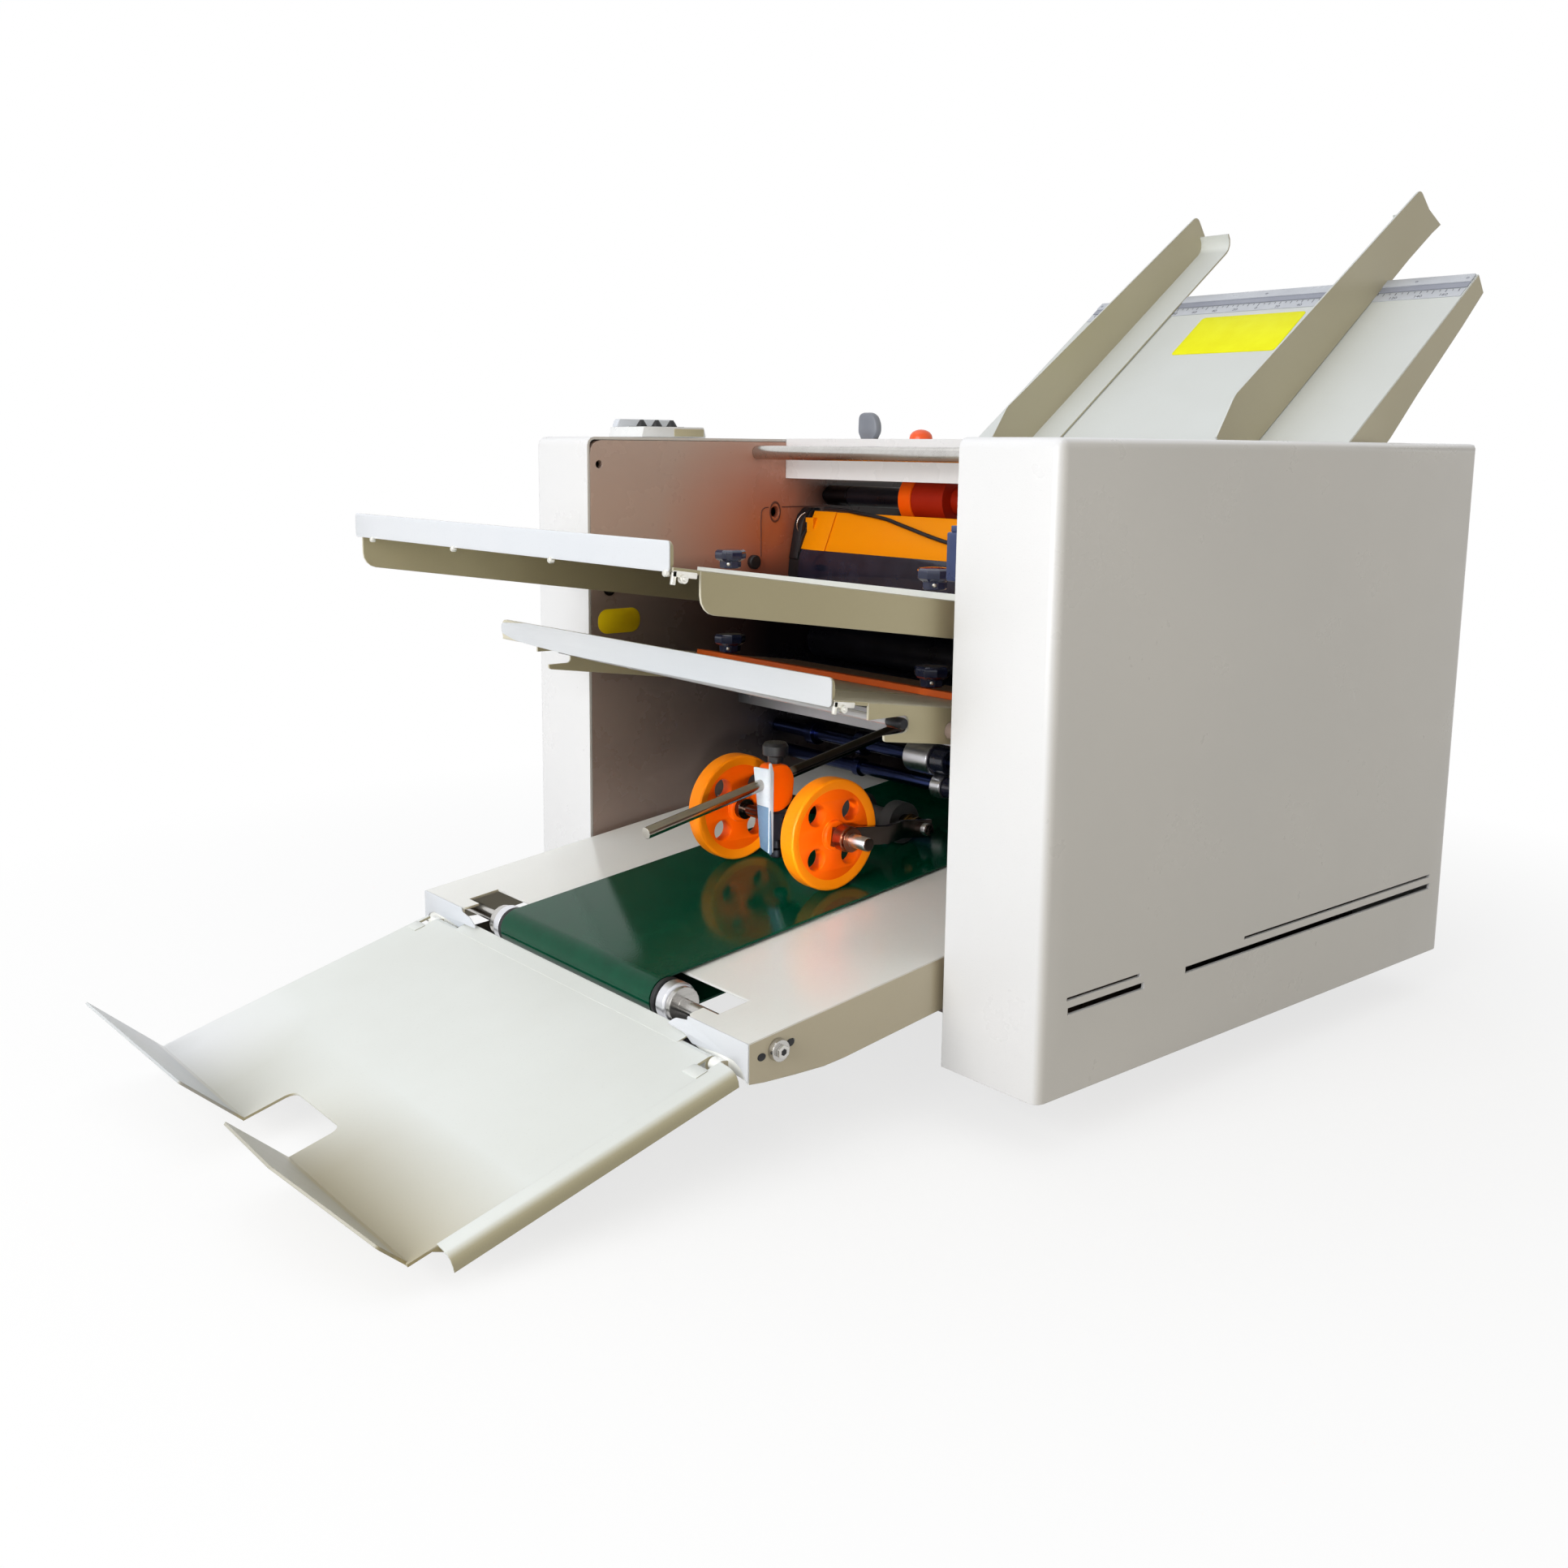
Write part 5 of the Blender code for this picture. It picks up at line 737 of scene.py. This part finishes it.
roll_x, roll_z = -118.6, 38.66
end_ring = [(5, 0.3), (11.4, 0.3), (12.1, 0.9), (12.1, 3.4), (11.6, 3.9), (5, 3.9), (5, 0.3)]
for (sign, side), belt_edge in zip(sides, (-78, 86)):
    outward = outward_on(sign, roll_x, belt_edge, roll_z)
    dressed("belt_end_ring_" + side, lathed(end_ring, 48), outward, "dark_inside", "front_belt_roller")
    outward = outward_on(sign, roll_x, sign * 178.8, roll_z)
    nut = merged(cut_sheet([ring_of(0, 0, 3.9, 6), ring_of(0, 0, 1.9, 6)], 2.4, 0.3), plug(2.1, 0.5, 16))
    dressed("belt_axle_nut_" + side, nut, outward, "bright_screw", "front_belt_roller")
    # A dark hexagon in the nut, standing for the shade in its socket: painted shade.
    recess = shifted(cut_sheet([ring_of(0, 0, 1.9, 6)], 0.4), rise=1.6)
    dressed("belt_axle_recess_" + side, recess, outward, "dark_inside", "front_belt_roller")
    # Dark discs at the ends of the deck's slots, standing for the shade in them: painted shade.
    for number, (x, z) in enumerate(((-129.2, 37.0), (-109.9, 40.2)), 1):
        slot_end = cut_sheet([ring_of(0, 0, 2.1, 24, stretch=1.3)], 0.5, 0.1)
        outward = outward_on(sign, x, sign * 175.3, z)
        fixed("deck_slot_end_%s_%d" % (side, number), slot_end, outward, "dark_inside")

# -------- looks of the inner pieces

# A whiter copy of the cream paint, standing for strong front light on the plate lips and deck lips: painted light,
# with painted white highlights at its edges. The panel hood wears it too.
painted("lip_white", (218, 221, 227), (206, 212, 221), 5.0, 0.6, 0.18, edge=(255, 255, 255), coat=0.3)
painted("warm_shadow_paint", (120, 106, 84), (96, 84, 66), 9.0, 0.6, 0.4, edge=(206, 198, 178))
metal("rod_chrome", (214, 208, 200), (104, 88, 76), lines=(30, 260, 260), gloss=0.16)
plastic("rod_gray", (190, 190, 195), (172, 172, 178), 40.0, 0.2, 0.2)
painted("stop_orange", (255, 116, 44), (246, 104, 34), 14.0, 0.5, 0.36, edge=(255, 150, 90), specular=0.3)
metal("arm_bronze", (96, 84, 78), (26, 22, 20), lines=(40, 300, 300), gloss=0.2)
metal("navy_steel", (58, 70, 116), (8, 10, 22), lines=(200, 20, 200), gloss=0.24)
metal("collar_silver", (232, 233, 238), (170, 171, 177), lines=(200, 20, 200), gloss=0.3)
metal("brass", (190, 158, 100), (96, 74, 44), lines=(200, 60, 200), gloss=0.24)
plastic("hood_navy", (24, 26, 42), (60, 64, 84), 300.0, 0.4, 0.12, coat=0.3)
plastic("wheel_face", (255, 92, 0), (255, 112, 4), 400.0, 0.5, 0.4, edge_color=srgb(255, 160, 50), specular=0.15)
plastic("wheel_tyre", (255, 136, 4), (255, 150, 20), 400.0, 0.4, 0.4, edge_color=srgb(255, 170, 50), specular=0.15)
plastic("holder_pale", (206, 214, 222), (170, 182, 196), 200.0, 0.6, 0.24)
plastic("holder_blue", (104, 136, 168), (74, 98, 128), 120.0, 0.8, 0.24)
plastic("dome_orange", (236, 84, 22), (250, 110, 40), 400.0, 0.3, 0.3)
plastic("paddle_gray", (122, 126, 136), (146, 150, 158), 400.0, 0.4, 0.34)
plastic("roll_red", (164, 30, 2), (190, 46, 8), 400.0, 0.3, 0.45, specular=0.2)


def paint_end_shade():
    """Rod and cross bar: painted shade where they run in under the plates and beside the far wall."""
    for finish, axis, low, high, most, shadow in (
            ("rod_chrome", "X", 34, 40, 0.97, (58, 52, 50)), ("rod_gray", "Y", 80, 176, 0.92, (24, 24, 28))):
        tree, colour, present, across, _ = opened(finish)
        tree.links.new(mix(tree, across(axis, low, high, 0.0, most), present, srgb(*shadow)), colour)


paint_end_shade()
# The fold rollers take the near-black roller_dark look: painted shade.
for node, finish in (
        ("wheel_axle", "arm_bronze"), ("wheel_rod", "rod_chrome"), ("holder_knob", "black_plastic"),
        ("feed_roller", "roll_red"), ("lower_stop_bar", "stop_orange"), ("cross_bar", "rod_gray"),
        ("score_shaft_upper", "navy_steel"), ("score_shaft_lower", "navy_steel"),
        *(("fold_roller_%d" % number, "roller_dark") for number in (1, 2, 3, 4))):
    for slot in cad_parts[node].material_slots:
        slot.material = materials[finish]

# -------- lips of the fold plates, and the rod under them

upper_face = [(-168.7, 288.3), (168.7, 288.3), (168.7, 303.1), (-168.7, 303.1)]
lower_face = [(-168.6, 219.4), (-150, 215.8), (-118, 214.4), (-80, 213.4), (168.7, 213.2), (168.7, 229.0),
              (-136, 229.0), (-168.6, 226.6)]
# Thin sheets over the lips' front faces, in the whiter paint: painted light.
for name, outline, corner, x in (("upper", upper_face, 2.4, -181.9), ("lower", lower_face, 3.0, -77.9)):
    fixed(name + "_lip_face", cut_sheet([eased(outline, corner)], 0.9, 0.3), front_on(x), "lip_white")
rod_line = [(-29, y, 199.8 + 0.0092 * (y + 170)) for y in (-168, -60, 60, 173)]
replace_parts(fixed("cross_rod_wire", bent_wire(rod_line, 2.2), machine, "rod_gray"), "cross_rod")
rod_cap = [(0, 0), (2.6, 0), (3.3, 1.0), (3.3, 11), (2.8, 12.4), (0, 12.4)]
fixed("cross_rod_cap", lathed(rod_cap, 28), side_on(-160.5, -29, 199.9), "roller_dark")

# -------- front of the conveyor deck

flange_near = [
    (123.6, 45.9), (123.6, 43.4), (113, 41.6), (106, 37.2), (107, 36), (121, 35.4), (128, 31.4), (150, 33.4),
    (163, 33.6), (169.5, 31), (172.5, 27), (174, 24.6), (175.4, 24.6), (175.4, 45.9)]
# Deck lips in the whiter paint: painted light.
for sign, side in sides:
    outline = eased([(-sign * u, v) for u, v in flange_near][::-sign], 1.2)
    fixed("deck_lip_" + side, cut_sheet([outline], 0.7, 0.2), front_on(-137.4), "lip_white")
# A black pan under the belt, whose black is also painted shade for the bay under the deck.
pan = strip_of([(-128.4, 24.2), (-127.6, 22.4), (-124, 21.6), (-100, 23.4)], 0.8)
fixed("belt_pan", cut_sheet([pan], 300), side_on(150), "black_paint", smooth=60)
# Dark sheets behind the deck's near slot and its two ends, standing for the shade behind them: painted shade.
for name, backing, place, finish in (
        ("deck_slot_back", box_solid(-134, -104, 30, 44, 0, 0.8, 1), side_on(-173.4), "dark_inside"),
        ("deck_end_back", box_solid(124, 174, 25, 44, -1.6, -0.8, 1), front_on(-136.2), "dark_inside"),
        ("deck_end_back_far", box_solid(-174, -124, 25, 44, -1.6, -0.8, 1), front_on(-136.2), "warm_shadow_paint")):
    fixed(name, backing, place, finish)
collar = [(4.2, 1.6), (10.8, 1.6), (12, 2.6), (12, 8.8), (11, 9.8), (6.6, 9.8), (6.6, 9.2), (4.2, 9.2)]
neck = [(4.1, 9), (5.2, 9.3), (4.8, 10.0), (4.1, 10.2)]
for (sign, side), y in zip(sides, (-81.5, 87)):
    outward = outward_on(sign, roll_x, y, roll_z)
    dressed("roll_collar_" + side, lathed(collar, 48), outward, "collar_silver", "front_belt_roller")
    dressed("roll_neck_" + side, lathed(neck, 32), outward, "dark_screw", "front_belt_roller")

# -------- delivery tray

tray_slope = radians(15.1)
tray_run = (cos(tray_slope), 0, sin(tray_slope))
tray_up = (-sin(tray_slope), 0, cos(tray_slope))


def tray_place(s, h=0.0):
    """Machine x and z of a point this far up the tray from its fold and this high over it."""
    return -322 + s * tray_run[0] + h * tray_up[0], -15.62 + s * tray_run[2] + h * tray_up[2]


def of_tray(name, mesh, place, smooth=35):
    dressed(name, mesh, place, "tray_plain", "delivery_tray", smooth=smooth)


bend_start, bend_end = 15, 185
x, z = tray_place(bend_start)
bend = [(-160.5, 0.12), (-162, 0.12), (-167, -0.3), (-170, -1.7), (-171.7, -4), (-172.2, -7), (-171.6, -10.6)]
folded = cut_sheet([strip_of(bend, 0.9)], bend_end - bend_start)
of_tray("tray_near_bend", folded, seat((x, 0, z), (0, 1, 0), tray_up), smooth=60)
tongue = [tray_place(184, 0.12), tray_place(190, 0.2), tray_place(195.2, 0.6)]
of_tray("tray_rear_lip", cut_sheet([strip_of(tongue, -0.8)], 246), side_on(123), smooth=60)
x, z = tray_place(0)
for sign, side in sides:
    patch = box_solid(168, 176, 154.2 * sign - 6, 154.2 * sign + 6, 0.06, 0.4, 0.5, 0.1)
    of_tray("tray_hinge_patch_" + side, patch, seat((x, 0, z), tray_run, (0, 1, 0)))

# -------- press wheels, their arms and the holder

wheel_x, wheel_z = 29, 105.5
hub = [(4.2, -1.3), (8.6, -1.3), (9.6, -0.4), (10.2, 6.2), (9.6, 12.8), (8.6, 13.7), (4.2, 13.7)]
tyre = [(28.4, 1.9), (33.2, 0.1), (34.8, 0.1), (35.8, 1), (36, 2.4), (36, 10), (35.8, 11.4), (34.8, 12.3),
        (33.2, 12.3), (28.4, 10.5)]
for body, y in (("press_wheel_near", -43.8), ("press_wheel_far", 51.2)):
    turns = [radians(turn) for turn in (45, 135, 225, 315)]
    holes = [ring_of(20 * cos(turn), 20 * sin(turn), 6.9, 28) for turn in turns]
    disc = shifted(cut_sheet([ring_of(0, 0, 33.0, 72), ring_of(0, 0, 4.2, 24), *holes], 9.2, 0.9), rise=1.6)
    place = side_on(y, wheel_x, wheel_z)
    whole = dressed(body + "_disc", merged(disc, lathed(hub, 40)), place, "wheel_face", body)
    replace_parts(whole, body)
    dressed(body + "_tyre", lathed(tyre, 96), place, "wheel_tyre", body)
rear_x, rear_z = 118, 94.4
near_collar = [(4, 0), (7.2, 0), (8.3, 1.4), (8.3, 8.4), (7.4, 9.4), (7.6, 11.2), (4, 11.2)]
near_stub = [(0, 0), (4.3, 0), (4.3, 13.6), (3.6, 14.8), (0, 14.8)]
rear_washer = [(4, 0), (7.4, 0), (7.4, 2), (5.6, 2.4), (5.6, 6.2), (6.6, 6.6), (6.6, 8.2), (4, 8.2)]
rear_stub = [(0, 0), (4.2, 0), (4.2, 9.8), (3.4, 11), (0, 11)]
for name, place, profile, finish in (
        ("axle_collar_near", side_on(-61, wheel_x, wheel_z), near_collar, "copper_collar"),
        ("axle_stub_near", side_on(-72, wheel_x, wheel_z), near_stub, "collar_silver"),
        ("rear_washer_near", side_on(-33, rear_x, rear_z), rear_washer, "brass"),
        ("rear_stub_near", side_on(-41, rear_x, rear_z), rear_stub, "collar_silver")):
    dressed(name, lathed(profile, 32), place, finish, "carriage")

plate = [(-5, 141.5), (-1, 117), (11.6, 117), (10.6, 142.4)]
plate_foot = [(-1.2, 117.4), (2.6, 89), (13.2, 86), (11.8, 117.4)]
cheek = [(11.4, 87), (15.2, 87), (15.2, 140), (13.2, 146.5), (11.4, 146.5)]
block = [(15.4, 143.6), (29.5, 143.6), (35.6, 135), (34, 118), (25, 112.5), (15.4, 112.5)]
saddle = [(15, 93.4), (33, 93.4), (36, 99), (36, 111.4), (15, 111.4)]
for name, outline, thick, edge, place, finish, slot, node in (
        ("plate", eased(plate, 1.2), 1.5, 0.3, front_on(13.2), "holder_pale", "steel", "wheel_bracket"),
        ("plate_foot", eased(plate_foot, 1.2), 1.5, 0.3, front_on(13.2), "holder_blue", "steel", None),
        ("cheek", eased(cheek, 0.8), 1.0, 0.3, side_on(-10.9), "holder_pale", "steel", None),
        ("block", eased(block, 4.5, 6), 13.6, 1.6, side_on(4.4), "wheel_face", "orange_plastic", "rod_clamp"),
        ("saddle", eased(saddle, 2.5), 12, 0.8, side_on(3.5), "black_paint", "black_paint", None)):
    part = dressed("holder_" + name, cut_sheet([outline], thick, edge), place, finish, "carriage")
    if node:
        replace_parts(part, node)
foot_screw = lathed([(0, 0), (3.8, 0), (4.6, 0.8), (4.6, 5.2), (3.8, 6), (2.5, 6.4), (2.5, 13.5), (0, 13.5)], 28)
dressed("holder_foot_screw", foot_screw, flat_on(26, -2.5, 80.5), "black_steel", "carriage")

# -------- score shafts

score_x, upper_z, lower_z = 180, 126, 107.5
for name, shaft, y, z, radius, length, finish in (
        ("score_collar", "upper", 26.2, upper_z, 11.7, 24.4, "collar_silver"),
        ("score_disc", "upper", 1.4, upper_z, 9.5, 13, "hood_navy"),
        ("nip_collar", "lower", 1.5, lower_z, 8.8, 10.3, "collar_silver"),
        ("nip_disc", "lower", -9, lower_z, 7.4, 12, "hood_navy")):
    ring = [(5, 0), (radius - 0.8, 0), (radius, 0.8), (radius, length - 0.8), (radius - 0.8, length), (5, length)]
    dressed(name, lathed(ring, 48), side_on(y, score_x, z), finish, "score_shaft_" + shaft)
for number, y in enumerate((18, 9), 1):
    screw = lathed([(0, 0), (2, 0), (2, 1.0), (1.2, 1.2), (0, 0.8)], 20)
    on_collar = flat_on(score_x, y, 136.4)
    dressed("score_set_screw_%d" % number, screw, on_collar, "dark_screw", "score_shaft_upper")
# A dark sheet across the machine behind the rollers, there to darken the inside: painted shade.
fixed("inner_baffle", box_solid(-178, 178, 118, 268, 0, 1.2, 2), front_on(246), "dark_inside")

# -------- guard, its cheek, hood and cable

cheek = [(188.5, 259), (194, 287), (197, 294), (203, 299.5), (213, 299.5), (214, 284), (203, 258)]
fixed("guard_cheek_far", cut_sheet([eased(cheek, 2)], 10, 0.6), side_on(178.8), "dark_inside")
hood = [(191.4, 267.4), (189.8, 263.4), (188.3, 256), (187.8, 248), (188.2, 241.6)]
hood_sheet = cut_sheet([strip_of(hood, 1.0)], 346)
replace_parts(fixed("roller_hood", hood_sheet, side_on(166.5), "hood_navy", smooth=60), "roller_cover")
hood_end = cut_sheet([strip_of([(x + 1.2, z) for x, z in hood], 1.0)], 12)
fixed("roller_hood_end", hood_end, side_on(179.4), "dark_inside", smooth=60)
corner = cut_sheet([[(-168, -15.4), (-140, -16.6), (-140, 16.6), (-165.4, 16.6)]], 0.6, 0.15)
on_guard = seat((198.1, 0, 281.8), (0, -1, 0), (13, 0, 31))
fixed("guard_corner_far", corner, on_guard, "orange_paint")
cable = [
    (203.7, 152.7, 299.2), (203.6, 131.7, 299), (202.7, 114.3, 297.4), (202.0, 95.8, 295.8), (201.2, 81.2, 294),
    (199.9, 67.7, 291.3), (198.5, 51.8, 288), (196.9, 33.5, 284.2), (195.6, 15.9, 281), (194.9, 3.3, 279.2),
    (194.6, -16, 278.4), (195.0, -60, 279), (195.8, -110, 280)]
cable_run = fixed("sensor_cable_run", bent_wire(cable, 1.5), machine, "cable_plastic")
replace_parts(cable_run, "sensor_cable")
flange = lathed([(12, 0), (19.6, 0), (20.2, 0.6), (20.2, 12.4), (19.6, 13), (12, 13)], 64)
dressed("feed_roll_flange", flange, side_on(79, 230, 309), "wheel_face", "feed_roller")

# -------- knobs, lever, button and key panel

cap = [(0, 0.3), (7.0, 0.3), (7.6, 1.2), (7.8, 5.6), (9.4, 6.0), (11.0, 7.4), (11.3, 9.2), (11.1, 12.2), (9.6, 13.4),
       (4, 13.9), (0, 13.9)]
cap_sides = 9
glint_dot = [(0, 0), (1.2, 0), (1.2, 0.9), (0.7, 1.3), (0, 1.3)]
knob_x = 66.8
for name, z in (("upper_knob_", 261.8), ("lower_knob_", 202.1)):
    for sign, side in sides:
        node, y = name + side, sign * 100
        knob = dressed(
            node + "_cap", lathed(cap, cap_sides), flat_on(knob_x, y, z), "navy_plastic", node, 0.5, 14)
        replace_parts(knob, node)
        # A pale pan on the knob's neck, on the facet toward the front-left: a painted highlight.
        on_facet = seat((knob_x - 5.5, y - 5.2, z + 3.6), (0.7, -0.7, 0), (0, 0, 1))
        dressed(node + "_dot", lathed(glint_dot, 16), on_facet, "pale_screw", node)

paddle = [(-120.8, 338), (-107.2, 338), (-107.2, 353), (-103.2, 358.4), (-103.4, 365), (-106.5, 371), (-111, 373.4),
          (-121, 373.4), (-124, 370.5), (-124.4, 358.4), (-120.8, 353)]
dome = [(0, 346), (8.2, 346), (8.5, 352), (8.45, 354.6), (7.8, 356.8), (6.3, 358.6), (4.0, 359.9), (2, 360.4),
        (0, 360.6)]
for name, mesh, place, finish, node, slot in (
        ("lever_paddle", cut_sheet([eased(paddle, 2.5)], 6.6, 2.2), front_on(216.3), "paddle_gray", "pressure_lever",
         "lever_plastic"),
        ("dome_cap", lathed(dome, 48), flat_on(213, 59, 0), "dome_orange", "dome_button", "orange_plastic")):
    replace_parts(dressed(name, mesh, place, finish, node), node)

base = eased([(56.5, 353.2), (116.5, 353.2), (114.5, 361), (58.5, 361)], 1.2)
panel = fixed("panel_base", cut_sheet([base], 44, 0.6), side_on(237), "panel_plastic")
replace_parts(panel, "panel_housing")
key_wall = eased([(59.5, 360.6), (113.6, 360.6), (111.6, 366.9), (62, 366.9)], 1.6)
fixed("panel_hood", cut_sheet([key_wall], 7, 0.8), side_on(237), "lip_white")
# A thin sheet of plate paint on the panel's near end; its tan near-side tint is painted shade.
face = box_solid(86, 114, 354, 359.6, 0, 0.6, 0.8, 0.2)
fixed("panel_face_warm", face, side_on(193.2), "plate_paint")
key_strip = box_solid(63, 109, -5, 5, 0, 0.5, 1.5, 0.1)
fixed("panel_key_strip", key_strip, flat_on(0, 215, 360.9), "dark_inside")

# -------- camera, light and floor

camera_data = bpy.data.cameras.new("camera")
camera = bpy.data.objects.new("camera", camera_data)
scene.collection.objects.link(camera)
scene.camera = camera
photo_pixels = 1932
focal_pixels = 1896.6
camera_data.sensor_width = 36.0
camera_data.lens = camera_data.sensor_width * focal_pixels / photo_pixels
camera_data.shift_x = (photo_pixels / 2 - 936.8) / photo_pixels
camera_data.shift_y = (860.6 - photo_pixels / 2) / photo_pixels
yaw, pitch, roll = radians(50.42), radians(9.28), radians(0.52)
camera.matrix_world = (
    Matrix.Translation(here(-609.9, -753.4, 346.8))
    @ Matrix.Rotation(yaw - pi / 2, 4, "Z") @ Matrix.Rotation(pi / 2 - pitch, 4, "X")
    @ Matrix.Rotation(roll, 4, "Z"))
camera_data.clip_start = 0.01
camera_data.clip_end = 50


def background_seen(tree, paths):
    """1 for rays of the camera, of gloss and of transmission, which all see the white background."""
    gloss = reckoned(tree, "MAXIMUM", paths["Is Glossy Ray"], paths["Is Transmission Ray"])
    return reckoned(tree, "MAXIMUM", paths["Is Camera Ray"], gloss)


world = bpy.data.worlds.new("studio")
scene.world = world
world.use_nodes = True
tree = world.node_tree
tree.nodes.clear()
paths = add(tree, "ShaderNodeLightPath").outputs
seen = background_seen(tree, paths)
around = add(tree, "ShaderNodeTexCoord").outputs["Generated"]
ways = add(tree, "ShaderNodeSeparateXYZ", {0: around}).outputs
front_share = mapped(tree, ways["X"], 0.2, -0.9)
up_share = mapped(tree, ways["Z"], -0.2, 0.9)
near_share = mapped(tree, ways["Y"], 0.1, -0.9)
sky = mix(tree, up_share, srgb(149, 146, 142), srgb(206, 210, 216))
sky = mix(tree, front_share, sky, srgb(188, 190, 194))
sky = mix(tree, near_share, sky, srgb(186, 180, 166))
plain = add(tree, "ShaderNodeBackground", {"Color": sky, "Strength": 1.0}).outputs[0]
white = add(tree, "ShaderNodeBackground", {"Color": (1, 1, 1, 1), "Strength": 1.0}).outputs[0]
both = add(tree, "ShaderNodeMixShader", {0: seen, 1: plain, 2: white}).outputs[0]
add(tree, "ShaderNodeOutputWorld", {"Surface": both})

floor_mesh = bpy.data.meshes.new("floor")
floor_mesh.from_pydata([(-9, -9, 0), (9, -9, 0), (9, 9, 0), (-9, 9, 0)], [], [(0, 1, 2, 3)])
floor = bpy.data.objects.new("floor", floor_mesh)
floor.location.z = -0.0006
scene.collection.objects.link(floor)
floor_paint = bpy.data.materials.new("floor_paint")
floor_paint.use_nodes = True
tree = floor_paint.node_tree
tree.nodes.clear()
paths = add(tree, "ShaderNodeLightPath").outputs
whiteness = mix(tree, paths["Is Camera Ray"], (0.60, 0.58, 0.53, 1), (0.98, 0.98, 0.98, 1))
matte = add(tree, "ShaderNodeBsdfDiffuse", {"Color": whiteness}).outputs[0]
glow = add(tree, "ShaderNodeEmission", {"Color": (1, 1, 1, 1), "Strength": 1.0}).outputs[0]
away = add(tree, "ShaderNodeVectorMath", {0: place_of(tree)}, operation="LENGTH").outputs["Value"]
clear = mapped(tree, away, 0.40, 0.85, 0.74, 1.0)
share = reckoned(tree, "MULTIPLY", background_seen(tree, paths), clear)
both = add(tree, "ShaderNodeMixShader", {0: share, 1: matte, 2: glow}).outputs[0]
add(tree, "ShaderNodeOutputMaterial", {"Surface": both})
floor_mesh.materials.append(floor_paint)


def softbox(name, place, target, size, power, tint=(1, 1, 1)):
    lamp = bpy.data.lights.new(name, "AREA")
    lamp.shape = "RECTANGLE"
    lamp.size, lamp.size_y = size
    lamp.energy = power
    lamp.color = tint
    box = bpy.data.objects.new(name, lamp)
    box.location = place
    box.rotation_euler = (Vector(target) - Vector(place)).to_track_quat("-Z", "Y").to_euler()
    scene.collection.objects.link(box)
    return box


softbox("key_window", (-2.2, -0.25, 0.88), (-0.1, 0, 0.2), (1.5, 1.3), 31.5, (1.0, 1.0, 0.99))
softbox("top_box", (-0.5, 0.5, 2.6), (-0.2, 0, 0.2), (2.2, 2.2), 11)
wheel_box = softbox("wheel_box", (-0.62, -0.58, 0.24), (-0.10, 0, 0.125), (0.06, 0.06), 0.030, (1.0, 0.98, 0.94))
wheel_box.data.spread = radians(12)

scene.view_settings.view_transform = "Standard"
